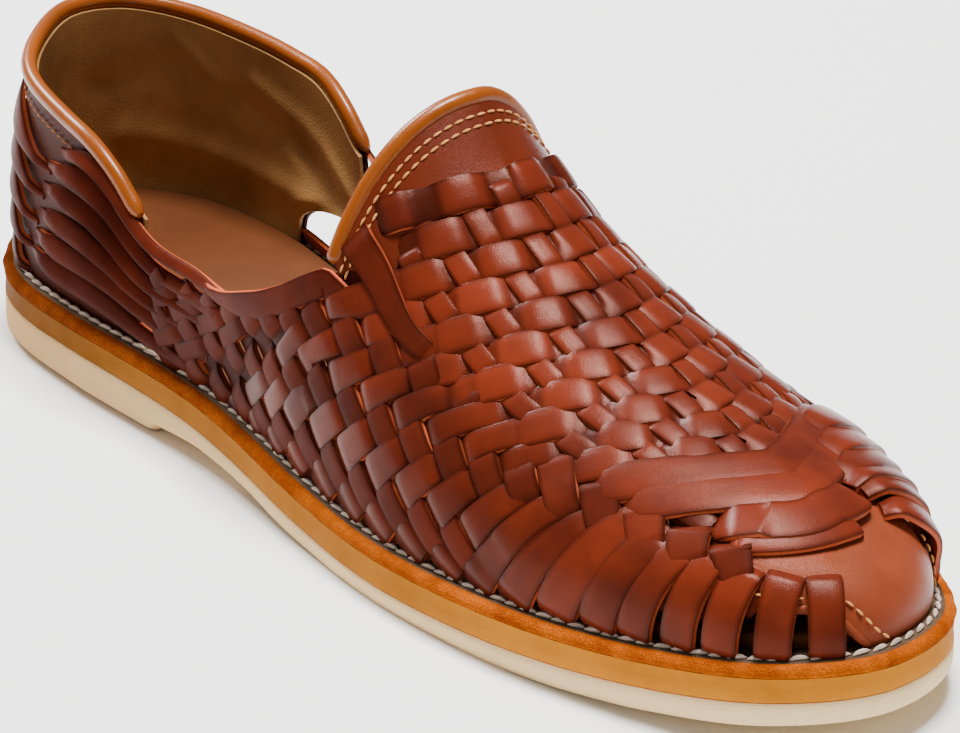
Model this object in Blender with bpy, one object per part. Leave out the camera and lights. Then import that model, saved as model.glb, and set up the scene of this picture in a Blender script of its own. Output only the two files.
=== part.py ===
"""Woven leather slip-on huarache, right shoe, standing on its sole.

The frame has +X at the toe, +Y at the inner (big toe) side and +Z up.
The origin is on the floor, under the middle of the outline's box.
"""
import bmesh
import bpy
import numpy as np

# Driving sizes, in metres
SOLE_LENGTH = 0.292
BALL_WIDTH = 0.0945
OUTSOLE_HEEL = 0.0100
MIDSOLE_THICKNESS = 0.0080
TOE_SPRING = 0.0067
SOLE_EDGE_ROUND = 0.0012
HEEL_UNDERCUT = 0.0026
FOREFOOT_UNDERCUT = 0.0008
UNDERCUT_HEIGHT = 0.0030
SOLE_LEDGE = 0.0045
COLLAR_HEIGHT = 0.0655
INSTEP_HEIGHT = 0.0940
WALL = 0.0019
STRIP_RAISE = 0.0009
COUNTER_BULGE = 0.0015
VAMP_BULGE = 0.0015
INSOLE_THICKNESS = 0.0030
INSOLE_CLEARANCE = 0.0006
CAP_THICKNESS = 0.0014
COLLAR_BEAD = 0.0034
THROAT_BEAD = 0.0032
GAP = 0.0003
HALF_RING = 46

# The weave
CROSS_STRIPS = 13
CROSS_GAP = 0.16
LENGTH_STRIPS = 4
LENGTH_GAP = 0.34
TOE_STRIPS = 11
TOE_GAP = 0.34
SHANK_STRAPS = 5
SHANK_SLIT = 0.26
REAR_COLUMNS = 20

# The sole's outline from the heel's back along the outer side to the toe and back along the
# inner side: share of SOLE_LENGTH, share of BALL_WIDTH
OUTLINE = (
    (0.000, 0.000), (0.022, -0.172), (0.085, -0.335), (0.190, -0.377), (0.350, -0.374),
    (0.500, -0.428), (0.630, -0.459), (0.760, -0.421), (0.880, -0.317), (0.960, -0.187),
    (1.000, 0.020), (0.975, 0.260), (0.900, 0.419), (0.800, 0.525), (0.700, 0.539),
    (0.570, 0.451), (0.430, 0.330), (0.300, 0.303), (0.180, 0.341), (0.085, 0.314),
    (0.022, 0.187),
)
TOE_ROW = 10

# The underside: share of SOLE_LENGTH, share of TOE_SPRING
UNDERSIDE = (
    (0.000, 0.00), (0.290, 0.00), (0.297, 0.27), (0.350, 0.43), (0.430, 0.40), (0.500, 0.14),
    (0.560, 0.00), (0.740, 0.00), (0.800, 0.09), (0.860, 0.27), (0.930, 0.60), (1.000, 1.00),
)
HEEL_BREAST = (0.290, 0.297)

# The layers at the sole's side: share of SOLE_LENGTH, outsole's top as a share of OUTSOLE_HEEL,
# midsole's depth as a share of MIDSOLE_THICKNESS
LAYERS = (
    (0.00, 1.03, 0.92), (0.10, 0.95, 0.92), (0.25, 0.97, 0.95), (0.40, 0.77, 1.03),
    (0.55, 0.44, 1.05), (0.70, 0.46, 1.05), (0.85, 0.68, 1.01), (1.00, 1.18, 0.98),
)

# The vamp's sections: crown's share of SOLE_LENGTH, crown's height as a share of INSTEP_HEIGHT,
# crown's place across as a share of BALL_WIDTH, shoulder's share of the way out, wall's share of
# the height, side strips' share of the girth
SECTIONS = (
    (0.518, 0.965, 0.055, 0.60, 0.58, 0.49),
    (0.562, 0.840, 0.050, 0.60, 0.56, 0.44),
    (0.668, 0.650, 0.045, 0.58, 0.54, 0.38),
    (0.777, 0.525, 0.055, 0.60, 0.56, 0.36),
    (0.850, 0.465, 0.070, 0.64, 0.58, 0.38),
    (0.897, 0.430, 0.080, 0.68, 0.62, 0.42),
)
FEATHER_START = 0.503
FEATHER_END = 0.850
PLATE_END = 0.556
TOE_SLOPE = 0.40

# The topline behind the throat: share of SOLE_LENGTH, height as a share of COLLAR_HEIGHT, lean
# inwards of the outer side and of the inner side as shares of BALL_WIDTH
TOPLINE = (
    (0.015, 1.010, 0.035, 0.035), (0.100, 0.950, 0.020, 0.010), (0.170, 0.915, 0.005, -0.020),
    (0.210, 0.885, 0.000, -0.035), (0.240, 0.815, 0.000, -0.040), (0.262, 0.735, 0.000, -0.045),
    (0.280, 0.700, -0.005, -0.050), (0.340, 0.680, -0.010, -0.050), (0.400, 0.690, -0.010, -0.035),
    (0.440, 0.750, 0.005, -0.015), (0.470, 0.820, 0.030, 0.020),
)
COLLAR_ENDS = 0.268
SHANK_SLITS = (0.290, 0.395)
TOE_OPENING = (0.04, 0.30)
CAP_ACROSS = (-0.14, 0.36)

COLOURS = {
    "outsole": (0.80, 0.68, 0.52, 1.0, 0.75),
    "midsole": (0.42, 0.20, 0.05, 1.0, 0.60),
    "insole": (0.32, 0.15, 0.07, 1.0, 0.65),
    "upper": (0.24, 0.045, 0.018, 1.0, 0.32),
    "toe_cap": (0.26, 0.05, 0.02, 1.0, 0.35),
    "collar_binding": (0.50, 0.17, 0.03, 1.0, 0.40),
    "throat_binding": (0.50, 0.17, 0.03, 1.0, 0.40),
}


def smooth_table(table, column, along):
    """Read a table's column at shares along the sole, on a cubic through its rows."""
    rows = np.array(table)
    xs, ys = rows[:, 0], rows[:, column]
    slopes = np.gradient(ys, xs)
    along = np.clip(np.asarray(along, float), xs[0], xs[-1])
    low = np.clip(np.searchsorted(xs, along, side="right") - 1, 0, len(xs) - 2)
    step = xs[low + 1] - xs[low]
    t = (along - xs[low]) / step
    return (
        (1 + 2 * t) * (1 - t) ** 2 * ys[low]
        + t * (1 - t) ** 2 * step * slopes[low]
        + t * t * (3 - 2 * t) * ys[low + 1]
        + t * t * (t - 1) * step * slopes[low + 1]
    )


def ease(low, high, value):
    """Rise smoothly from 0 at low to 1 at high."""
    t = np.clip((np.asarray(value, float) - low) / (high - low), 0.0, 1.0)
    return t * t * (3 - 2 * t)


class Side:
    """One side of the sole's outline, from the heel's back to the toe's tip."""

    def __init__(self, first, last):
        rows = np.array(OUTLINE) * (SOLE_LENGTH, BALL_WIDTH)
        count = len(rows)
        fine = np.linspace(0.0, 1.0, 25)[:, None]
        pieces = []
        step = 1 if last > first else -1
        for at in range(first, last, step):
            a, b, c, d = (rows[(at + shift * step) % count] for shift in (-1, 0, 1, 2))
            pieces.append(
                0.5 * (2 * b + (c - a) * fine + (2 * a - 5 * b + 4 * c - d) * fine ** 2
                       + (3 * b - a - 3 * c + d) * fine ** 3)[:-1]
            )
        pieces.append(rows[last % count][None])
        self.points = np.vstack(pieces)
        spans = np.linalg.norm(np.diff(self.points, axis=0), axis=1)
        self.shares = np.concatenate([[0.0], np.cumsum(spans)])
        self.length = self.shares[-1]
        self.shares = self.shares / self.length
        tangents = np.gradient(self.points, self.shares, axis=0)
        tangents /= np.linalg.norm(tangents, axis=1)[:, None]
        tangents[0] = (0.0, np.sign(self.points[5, 1]))
        tangents[-1] = (0.0, -np.sign(self.points[-5, 1] - self.points[-1, 1]))
        sign = np.sign(self.points[len(self.points) // 2, 1])
        self.inward = np.stack([-tangents[:, 1], tangents[:, 0]], 1) * -sign
        self.inward[0] = (1.0, 0.0)
        self.inward[-1] = (-1.0, 0.0)

    def at(self, share, inset):
        """The outline's points at shares of its length, moved inwards by inset."""
        point = np.stack([np.interp(share, self.shares, self.points[:, k]) for k in (0, 1)], -1)
        return point + self.normal(share) * np.asarray(inset, float)[..., None]

    def normal(self, share):
        """The inward direction at shares of the side's length."""
        way = np.stack([np.interp(share, self.shares, self.inward[:, k]) for k in (0, 1)], -1)
        return way / np.linalg.norm(way, axis=-1)[..., None]

    def share_of(self, along):
        """The share of the side's length at a share along the sole."""
        return np.interp(np.asarray(along) * SOLE_LENGTH, self.points[:, 0], self.shares)


OUTER = Side(0, TOE_ROW)
INNER = Side(len(OUTLINE), TOE_ROW)
EDGES = np.vstack([OUTER.points, INNER.points])
CENTRE = 0.5 * (EDGES.min(0) + EDGES.max(0))


def outsole_top(x):
    """Height of the border between outsole and midsole at a place along the sole."""
    return OUTSOLE_HEEL * smooth_table(LAYERS, 1, x / SOLE_LENGTH)


def midsole_top(x):
    """Height of the ledge that the upper stands on."""
    return outsole_top(x) + MIDSOLE_THICKNESS * smooth_table(LAYERS, 2, x / SOLE_LENGTH)


def underside(x):
    """Height of the outsole's underside, with a flat heel, a breast and a flat forefoot."""
    rows = np.array(UNDERSIDE)
    return TOE_SPRING * np.interp(x / SOLE_LENGTH, rows[:, 0], rows[:, 1])


def ring(inset, height):
    """A closed ring of points round the outline, with its height worked out along the sole."""
    halves = []
    for side in (OUTER, INNER):
        shares = np.linspace(0.0, 1.0, HALF_RING - 1)
        shares = np.sort(np.concatenate([shares, side.share_of(np.array(HEEL_BREAST))]))
        flat = side.at(shares, inset(shares) if callable(inset) else np.full(len(shares), inset))
        halves.append(np.column_stack([flat, height(side.at(shares, np.zeros(len(shares)))[:, 0])]))
    return np.vstack([halves[0], halves[1][-2:0:-1]])


def new_object(name, vertices, faces):
    """Make one closed object from vertices in the shoe's frame and give it its material."""
    shifted = np.array(vertices, float) - (CENTRE[0], CENTRE[1], 0.0)
    mesh = bpy.data.meshes.new(name)
    mesh.from_pydata(shifted.tolist(), [], [tuple(int(k) for k in face) for face in faces])
    bm = bmesh.new()
    bm.from_mesh(mesh)
    bmesh.ops.triangulate(bm, faces=bm.faces[:])
    bmesh.ops.recalc_face_normals(bm, faces=bm.faces[:])
    if bm.calc_volume(signed=True) < 0.0:
        bmesh.ops.reverse_faces(bm, faces=bm.faces[:])
    bm.to_mesh(mesh)
    bm.free()
    red, green, blue, alpha, roughness = COLOURS[name]
    material = bpy.data.materials.new(name)
    material.use_nodes = True
    shader = material.node_tree.nodes["Principled BSDF"]
    shader.inputs["Base Color"].default_value = (red, green, blue, alpha)
    shader.inputs["Roughness"].default_value = roughness
    material.diffuse_color = (red, green, blue, alpha)
    mesh.materials.append(material)
    thing = bpy.data.objects.new(name, mesh)
    bpy.context.collection.objects.link(thing)
    return thing


def layered_solid(name, rings):
    """A solid through rings stacked upwards, closed by rungs between its two sides."""
    count = len(rings[0])
    half = count // 2
    faces = []
    for level in range(len(rings) - 1):
        base = level * count
        for at in range(count):
            after = (at + 1) % count
            faces.append((base + at, base + after, base + count + after, base + count + at))
    for base in (0, (len(rings) - 1) * count):
        faces.append((base, base + 1, base + count - 1))
        for at in range(1, half - 1):
            faces.append((base + at, base + at + 1, base + count - at - 1, base + count - at))
        faces.append((base + half - 1, base + half, base + half + 1))
    return new_object(name, np.vstack(rings), faces)


def make_outsole():
    """The crepe wedge, with a rounded lower edge and a low heel's breast."""
    def undercut(shares):
        return HEEL_UNDERCUT + (FOREFOOT_UNDERCUT - HEEL_UNDERCUT) * ease(0.30, 0.50, shares)

    layered_solid("outsole", [
        ring(undercut, underside),
        ring(lambda shares: undercut(shares) / 4, lambda x: underside(x) + UNDERCUT_HEIGHT / 2),
        ring(0.0, lambda x: underside(x) + UNDERCUT_HEIGHT),
        ring(0.0, lambda x: outsole_top(x) - GAP / 2),
    ])


def make_midsole():
    """The leather layer under the upper, with its top edge rounded off."""
    layered_solid("midsole", [
        ring(0.0, lambda x: outsole_top(x) + GAP / 2),
        ring(0.0, lambda x: midsole_top(x) - SOLE_EDGE_ROUND),
        ring(SOLE_EDGE_ROUND, midsole_top),
    ])


def make_insole():
    """The footbed, clear of the upper's wall and of the toe cap inside it."""
    beside = SOLE_LEDGE + WALL + INSOLE_CLEARANCE

    def inset(shares):
        return beside + (CAP_THICKNESS + GAP) * ease(0.80, 0.90, shares)

    layered_solid("insole", [
        ring(inset, lambda x: midsole_top(x) + GAP),
        ring(inset, lambda x: midsole_top(x) + GAP + INSOLE_THICKNESS),
    ])


def bezier_rows(corners, shares):
    """Points at shares of the length of a cubic with four corner points, from its last corner."""
    t = np.linspace(0.0, 1.0, 81)[:, None]
    a, b, c, d = corners[::-1]
    curve = (1 - t) ** 3 * a + 3 * t * (1 - t) ** 2 * b + 3 * t * t * (1 - t) * c + t ** 3 * d
    lengths = np.concatenate([[0.0], np.cumsum(np.linalg.norm(np.diff(curve, axis=0), axis=1))])
    lengths /= lengths[-1]
    return np.stack([np.interp(shares, lengths, curve[:, k]) for k in range(3)], 1)


def crown(along):
    """The spine's point at a share along the sole."""
    return np.array([
        along * SOLE_LENGTH,
        BALL_WIDTH * smooth_table(SECTIONS, 2, along),
        INSTEP_HEIGHT * smooth_table(SECTIONS, 1, along),
    ])


def feather(side, share):
    """The point where the upper meets the ledge, and its inward direction."""
    flat = side.at(share, np.array(SOLE_LEDGE))
    return np.array([flat[0], flat[1], midsole_top(flat[0]) + GAP]), np.append(side.normal(share), 0)


def weave_rows(side_share):
    """Row shares of a vamp column: the side's rows, then the edges of the lengthwise strips."""
    side = np.linspace(0.0, side_share, 2 * SHANK_STRAPS)
    steps = [LENGTH_GAP] + [1 - LENGTH_GAP, LENGTH_GAP] * LENGTH_STRIPS + [(1 - LENGTH_GAP) / 2]
    over = side_share + (1 - side_share) * np.cumsum(steps) / sum(steps)
    return np.concatenate([side, over])


def strap_rows():
    """Row shares of a shank column: straps parted by slits."""
    steps = [1.0] + [SHANK_SLIT, 1.0] * (SHANK_STRAPS - 1)
    return np.concatenate([[0.0], np.cumsum(steps) / sum(steps)])


TOP_ROW = 2 * SHANK_STRAPS - 1
LAST_ROW = TOP_ROW + 2 * LENGTH_STRIPS + 2


def vamp_column(along, side, share):
    """A column of the vamp, from the feather line up to the spine."""
    top = crown(along)
    foot, inward = feather(side, share)
    out = foot - top
    forward = max(0.0, out[0] / max(np.hypot(out[0], out[1]), 1e-9))
    shoulder = smooth_table(SECTIONS, 3, along)
    wall = smooth_table(SECTIONS, 4, along)
    second = top + shoulder * out * (1, 1, 0)
    second[2] -= TOE_SLOPE * forward * shoulder * np.hypot(out[0], out[1])
    third = foot - inward * VAMP_BULGE
    third[2] += wall * (second[2] - foot[2])
    return bezier_rows((top, second, third, foot), weave_rows(smooth_table(SECTIONS, 5, along)))


def rear_column(side, share, lean_column, throat, blend_at):
    """A column behind the throat, from the feather line up to the topline."""
    foot, inward = feather(side, share)
    along = foot[0] / SOLE_LENGTH
    top = foot + inward * BALL_WIDTH * smooth_table(TOPLINE, lean_column, along)
    top[2] = COLLAR_HEIGHT * smooth_table(TOPLINE, 1, along)
    near = ease(blend_at[0], blend_at[1], along)
    end_along = throat[0, 0] / SOLE_LENGTH
    if along > TOPLINE[-1][0]:
        reach = (along - TOPLINE[-1][0]) / (end_along - TOPLINE[-1][0])
        top = top + reach * (foot + (throat[TOP_ROW] - throat[0]) - top)
    handle = (top[2] - foot[2]) / 3
    bulge = inward * COUNTER_BULGE * (1 - ease(0.25, 0.40, along))
    second = top - bulge - (0, 0, handle)
    third = foot - bulge + (0, 0, handle)
    own = bezier_rows((top, second, third, foot), strap_rows())
    even = np.linspace(0.0, 1.0, TOP_ROW + 1)[:, None]
    own_chord = foot + strap_rows()[:, None] * (top - foot)
    throat_chord = throat[0] + even * (throat[TOP_ROW] - throat[0])
    shares = (1 - near) * strap_rows()[:, None] + near * even
    bent = (1 - near) * (own - own_chord) + near * (throat[:TOP_ROW + 1] - throat_chord)
    return foot + shares * (top - foot) + bent


class Column:
    """One column of the upper: its points, what it is and how far along it stands."""

    def __init__(self, kind, number, points):
        self.kind = kind
        self.number = number
        self.points = points


def vamp_lines():
    """Shares from the throat to the last section where the cross strips' edges run."""
    pitch = (SECTIONS[-1][0] - PLATE_END) / CROSS_STRIPS
    lines = [SECTIONS[0][0], 0.5 * (SECTIONS[0][0] + PLATE_END)]
    for strip in range(CROSS_STRIPS):
        start = PLATE_END + strip * pitch
        lines += [start + CROSS_GAP * pitch, start + pitch]
    return lines


def side_columns(side):
    """The vamp's columns on one side, from the throat to the last section."""
    lines = vamp_lines()
    span = SECTIONS[-1][0] - SECTIONS[0][0]
    columns = []
    for number, along in enumerate(lines):
        reach = (along - SECTIONS[0][0]) / span
        foot = FEATHER_START + (FEATHER_END - FEATHER_START) * reach
        columns.append(Column("vamp", number, vamp_column(along, side, side.share_of(foot))))
    return columns


def toe_columns():
    """The columns that fan out round the toe, from the outer side to the inner side."""
    first = OUTER.share_of(FEATHER_END)
    last = INNER.share_of(FEATHER_END)
    outer_run = (1 - first) * OUTER.length
    whole = outer_run + (1 - last) * INNER.length
    columns = []
    for strip in range(TOE_STRIPS + 1):
        edges = (TOE_GAP, 1.0) if strip < TOE_STRIPS else (TOE_GAP,)
        for edge, place in enumerate(edges):
            run = whole * (strip + place) / (TOE_STRIPS + TOE_GAP)
            if strip == TOE_STRIPS or run >= whole - 1e-6:
                continue
            if run < outer_run:
                side, share = OUTER, first + run / OUTER.length
            else:
                side, share = INNER, 1 - (run - outer_run) / INNER.length
            points = vamp_column(SECTIONS[-1][0], side, share)
            columns.append(Column("toe", 2 * strip + edge, points))
    return columns


def rear_columns(throat_outer, throat_inner):
    """The columns from the inner throat back round the heel to the outer throat."""
    columns = []
    blend_at = (0.40, FEATHER_START)
    for side, lean, throat, order in (
        (INNER, 3, throat_inner, 1), (OUTER, 2, throat_outer, -1),
    ):
        end = side.share_of(FEATHER_START)
        shares = np.linspace(end, 0.0, REAR_COLUMNS + 1)[1:]
        if order < 0:
            shares = shares[-2::-1]
        for number, share in enumerate(shares):
            kind = "inner" if side is INNER else "outer"
            points = rear_column(side, share, lean, throat, blend_at)
            columns.append(Column(kind, number, points))
    return columns


class Shell:
    """The upper's woven wall as a grid of columns, with the cells of its gaps left out."""

    def __init__(self):
        outer = side_columns(OUTER)
        inner = side_columns(INNER)[::-1]
        toe = toe_columns()
        self.front = len(outer)
        self.columns = outer + toe + inner + rear_columns(outer[0].points, inner[-1].points)
        self.fronts = len(outer) + len(toe) + len(inner)
        self.toe_range = (len(outer), len(outer) + len(toe))
        self.index_points()
        self.cells = [cell for cell in self.all_cells() if not self.is_open(*cell)]
        self.normals = self.point_normals()

    def index_points(self):
        """Number the grid's points, with one point for both sides on the spine."""
        points = []
        self.index = -np.ones((len(self.columns), LAST_ROW + 1), int)
        for at, column in enumerate(self.columns):
            for row, point in enumerate(column.points):
                partner = self.fronts - 1 - at
                if row == LAST_ROW and column.kind == "toe":
                    self.index[at, row] = self.index[self.front - 1, row]
                elif row == LAST_ROW and partner < at:
                    self.index[at, row] = self.index[partner, row]
                else:
                    self.index[at, row] = len(points)
                    points.append(point)
        self.points = np.array(points)

    def all_cells(self):
        """Each cell of the grid as its column and its row."""
        count = len(self.columns)
        for at in range(count):
            both_front = at + 1 < self.fronts
            for row in range(LAST_ROW if both_front else TOP_ROW):
                yield at, row

    def corners(self, at, row):
        """A cell's corner points, without a repeated one."""
        after = (at + 1) % len(self.columns)
        loop = (self.index[at, row], self.index[after, row],
                self.index[after, row + 1], self.index[at, row + 1])
        return list(dict.fromkeys(loop))

    def is_open(self, at, row):
        """Whether a cell is a gap between strips, a slit or the toe's opening."""
        column = self.columns[at]
        after = self.columns[(at + 1) % len(self.columns)]
        foot = column.points[0]
        if column.kind == "toe" or after.kind == "toe":
            middle = 0.5 * (column.points[0][1] + after.points[0][1])
            low, high = (BALL_WIDTH * share for share in TOE_OPENING)
            if low < middle < high and foot[0] > 0.93 * SOLE_LENGTH:
                return row < TOP_ROW - 1
            gap = column.kind != "toe" or column.number % 2 == 1
            return gap and row < TOP_ROW - 3
        if column.kind == "vamp":
            lateral = at < self.front
            gap = column.number % 2 == (1 if lateral else 0)
            return gap and column.number > 8 and row < 3
        low, high = SHANK_SLITS
        inside = all(low < c.points[0][0] / SOLE_LENGTH < high for c in (column, after))
        return inside and row % 2 == 1

    def point_normals(self):
        """Outward directions at the points, from the faces round each."""
        normals = np.zeros_like(self.points)
        for at, row in self.all_cells():
            loop = self.corners(at, row)
            for k in range(1, len(loop) - 1):
                a, b, c = (self.points[loop[n]] for n in (0, k, k + 1))
                normals[[loop[0], loop[k], loop[k + 1]]] += np.cross(b - a, c - a)
        feet = self.index[:, 0]
        normals[feet, 2] = 0.0
        normals /= np.linalg.norm(normals, axis=1)[:, None]
        middle = np.array([0.5 * SOLE_LENGTH, 0.0, 0.0])
        side = np.sum(normals[feet] * (self.points[feet] - middle), axis=1)
        return normals * np.sign(np.median(side))

    def relief(self):
        """How far each outer point is raised, a strip over its neighbour in turn."""
        raised = np.zeros(len(self.points))
        for at, column in enumerate(self.columns):
            strip = (column.number - 2) // 2
            plate = column.kind == "vamp" and column.number < 2
            for row in range(len(column.points)):
                point = self.index[at, row]
                if plate or (column.kind == "toe" and row > LAST_ROW - 4):
                    raised[point] = 0.5
                elif column.kind in ("vamp", "toe") and row > TOP_ROW:
                    lengthwise = (row - TOP_ROW - 1) // 2
                    raised[point] = 1.0 if (strip + lengthwise) % 2 else 0.35
                elif column.kind == "vamp":
                    raised[point] = 1.0 if (strip + row // 2) % 2 else 0.3
                elif column.kind == "toe":
                    raised[point] = 0.8
                else:
                    raised[point] = 0.3 + 0.4 * (column.number // 2 % 2)
        return raised * STRIP_RAISE

    def wall(self, cells, outside, inside):
        """Faces and points of a wall between two offsets of the grid's cells."""
        loops = [self.corners(at, row) for at, row in cells]
        used = sorted({point for loop in loops for point in loop})
        renumber = {point: at for at, point in enumerate(used)}
        count = len(used)
        outer = self.points[used] + self.normals[used] * outside[used][:, None]
        inner = self.points[used] + self.normals[used] * inside[used][:, None]
        faces = []
        edges = {}
        for loop in loops:
            loop = [renumber[point] for point in loop]
            faces.append(loop)
            faces.append([point + count for point in loop[::-1]])
            for a, b in zip(loop, loop[1:] + loop[:1]):
                edges[(a, b)] = edges.get((a, b), 0) + 1
        for a, b in edges:
            if (b, a) not in edges:
                faces.append([b, a, a + count, b + count])
        return np.vstack([outer, inner]), faces

    def make_upper(self):
        """The hollow woven wall."""
        inside = np.full(len(self.points), -WALL)
        new_object("upper", *self.wall(self.cells, self.relief(), inside))

    def make_toe_cap(self):
        """The smooth cap under the toe's strips, seen in the opening between them."""
        low, high = (BALL_WIDTH * share for share in CAP_ACROSS)
        cells = []
        for at in range(self.toe_range[0], self.toe_range[1] - 1):
            after = self.columns[at + 1].points[0]
            here = self.columns[at].points[0]
            if low < here[1] < high and low < after[1] < high:
                cells += [(at, row) for row in range(TOP_ROW + 3)]
        outside = np.full(len(self.points), -WALL - GAP)
        new_object("toe_cap", *self.wall(cells, outside, outside - CAP_THICKNESS))

    def collar_edge(self):
        """Rim points and upward directions along the counter's top."""
        points = []
        ways = []
        for column in self.columns[self.fronts:]:
            if column.points[0][0] < COLLAR_ENDS * SOLE_LENGTH:
                points.append(column.points[TOP_ROW])
                ways.append(column.points[TOP_ROW] - column.points[TOP_ROW - 2])
        return np.array(points), np.array(ways)

    def throat_edge(self):
        """Rim points and rearward directions along the tongue's edge."""
        outer = self.columns[0].points, self.columns[1].points
        inner = self.columns[self.fronts - 1].points, self.columns[self.fronts - 2].points
        points = []
        ways = []
        for (edge, behind), rows in (
            (outer, range(TOP_ROW + 1, LAST_ROW + 1)), (inner, range(LAST_ROW - 1, TOP_ROW, -1)),
        ):
            for row in rows:
                points.append(edge[row])
                ways.append(edge[row] - behind[row])
        return np.array(points), np.array(ways)


def make_bead(name, points, ways, width, sides=8):
    """A rounded binding that lies along a rim, GAP away from it, with closed ends."""
    ways = ways / np.linalg.norm(ways, axis=1)[:, None]
    tangents = np.gradient(points, axis=0)
    tangents /= np.linalg.norm(tangents, axis=1)[:, None]
    across = np.cross(tangents, ways)
    across /= np.linalg.norm(across, axis=1)[:, None]
    raised = np.cross(across, tangents)
    turn = 2 * np.pi * (np.arange(sides) + 0.5) / sides
    centres = points + raised * (width / 2 + GAP)
    loops = (centres[:, None]
             + across[:, None] * np.cos(turn)[:, None] * width / 2
             + raised[:, None] * np.sin(turn)[:, None] * width / 2)
    faces = [list(range(sides)), list(range((len(points) - 1) * sides, len(points) * sides))]
    for at in range(len(points) - 1):
        for k in range(sides):
            after = (k + 1) % sides
            low, high = at * sides, (at + 1) * sides
            faces.append((low + k, low + after, high + after, high + k))
    return new_object(name, loops.reshape(-1, 3), faces)


def main():
    """Build the shoe's pieces."""
    for thing in list(bpy.data.objects):
        bpy.data.objects.remove(thing, do_unlink=True)
    make_outsole()
    make_midsole()
    make_insole()
    shell = Shell()
    shell.make_upper()
    shell.make_toe_cap()
    make_bead("collar_binding", *shell.collar_edge(), COLLAR_BEAD)
    make_bead("throat_binding", *shell.throat_edge(), THROAT_BEAD)


main()
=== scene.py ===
"""Looks of a woven leather slip-on huarache, right shoe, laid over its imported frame.

The upper is laid strip by strip on the surface of the last: each strip is a ribbon that follows
the surface and rides over and under its neighbours by a wave of its crossing number.
"""
import logging
import math
from collections.abc import Callable
from dataclasses import dataclass
from enum import Enum

import bpy
import numpy as np
from mathutils import Matrix, Vector


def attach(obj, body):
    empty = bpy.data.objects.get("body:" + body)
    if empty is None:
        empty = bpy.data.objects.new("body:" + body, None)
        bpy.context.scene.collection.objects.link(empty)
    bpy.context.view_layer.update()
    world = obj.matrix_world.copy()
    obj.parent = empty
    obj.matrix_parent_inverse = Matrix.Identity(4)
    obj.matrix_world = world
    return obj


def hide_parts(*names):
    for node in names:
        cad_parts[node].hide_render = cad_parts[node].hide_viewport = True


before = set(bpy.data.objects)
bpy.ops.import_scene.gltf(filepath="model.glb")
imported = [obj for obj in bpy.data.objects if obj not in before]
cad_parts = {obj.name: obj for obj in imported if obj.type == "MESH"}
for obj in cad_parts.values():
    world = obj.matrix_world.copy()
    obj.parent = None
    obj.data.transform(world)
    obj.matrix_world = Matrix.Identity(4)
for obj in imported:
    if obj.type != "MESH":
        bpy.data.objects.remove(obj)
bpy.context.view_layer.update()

LOG = logging.getLogger("huarache")
MM = 0.001
WHITE = "FFFFFF"
HEEL_TO_TOE = (-0.146, 0.10)
Array = np.ndarray
MeshParts = tuple[Array, list[tuple[int, ...]], dict[str, Array]]


class SideName(Enum):
    """The two sides of a right shoe."""

    OUTER = -1
    INNER = 1


def linear(hex_colour: str) -> tuple[float, float, float, float]:
    """Turn an sRGB hex colour into linear red, green, blue and alpha.

    Args:
        hex_colour: Six hex digits.

    Returns:
        The linear colour with alpha 1.
    """
    parts = (int(hex_colour[k:k + 2], 16) / 255 for k in (0, 2, 4))
    red, green, blue = (c / 12.92 if c <= 0.04045 else ((c + 0.055) / 1.055) ** 2.4
                        for c in parts)
    return (red, green, blue, 1.0)


def ease(low: float, high: float, value: Array) -> Array:
    """Rise from 0 at low to 1 at high along the cubic 3t^2 - 2t^3.

    Args:
        low: Value where the rise starts.
        high: Value where it ends.
        value: Where to read it.

    Returns:
        The eased share.
    """
    t = np.clip((np.asarray(value, float) - low) / (high - low), 0.0, 1.0)
    return t * t * (3 - 2 * t)


def square_wave(place: Array, period: float, steep: float) -> Array:
    """A wave between -1 and 1 whose corners are rounded: tanh(steep cos) / tanh(steep).

    Args:
        place: Crossing number along the strip.
        period: Crossings in a whole wave.
        steep: How square the wave is.

    Returns:
        The wave's height.
    """
    return np.tanh(steep * np.cos(2 * np.pi * place / period)) / math.tanh(steep)


def smooth_table(table: tuple, column: int, along: Array) -> Array:
    """Read a table's column at shares along the sole, on a cubic through its rows.

    Args:
        table: Rows whose first column is the share along the sole.
        column: The column to read.
        along: Shares along the sole.

    Returns:
        The column's values there.
    """
    rows = np.array(table)
    xs, ys = rows[:, 0], rows[:, column]
    slopes = np.gradient(ys, xs)
    along = np.clip(np.asarray(along, float), xs[0], xs[-1])
    low = np.clip(np.searchsorted(xs, along, side="right") - 1, 0, len(xs) - 2)
    step = xs[low + 1] - xs[low]
    t = (along - xs[low]) / step
    return (
        (1 + 2 * t) * (1 - t) ** 2 * ys[low]
        + t * (1 - t) ** 2 * step * slopes[low]
        + t * t * (3 - 2 * t) * ys[low + 1]
        + t * t * (t - 1) * step * slopes[low + 1]
    )


def add_node(tree: bpy.types.NodeTree, kind: str, links: dict | None = None,
             inputs: dict | None = None, **settings: object) -> bpy.types.Node:
    """Add a shader node with its settings, input values and incoming links.

    Args:
        tree: The material's node tree.
        kind: The node's type name.
        links: Input name or number to the output socket that feeds it.
        inputs: Input name or number to its value.
        **settings: Attributes of the node.

    Returns:
        The node.
    """
    node = tree.nodes.new(kind)
    for name, value in settings.items():
        setattr(node, name, value)
    for name, value in (inputs or {}).items():
        node.inputs[name].default_value = value
    for name, socket in (links or {}).items():
        tree.links.new(socket, node.inputs[name])
    return node


def map_range(tree: bpy.types.NodeTree, value: bpy.types.NodeSocket, low: float, high: float,
              to_low: float = 0.0, to_high: float = 1.0) -> bpy.types.NodeSocket:
    """Map a value from the range low to high to another range, held at its ends."""
    node = add_node(tree, "ShaderNodeMapRange", {"Value": value},
                    {"From Min": low, "From Max": high, "To Min": to_low, "To Max": to_high})
    return node.outputs["Result"]


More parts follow.
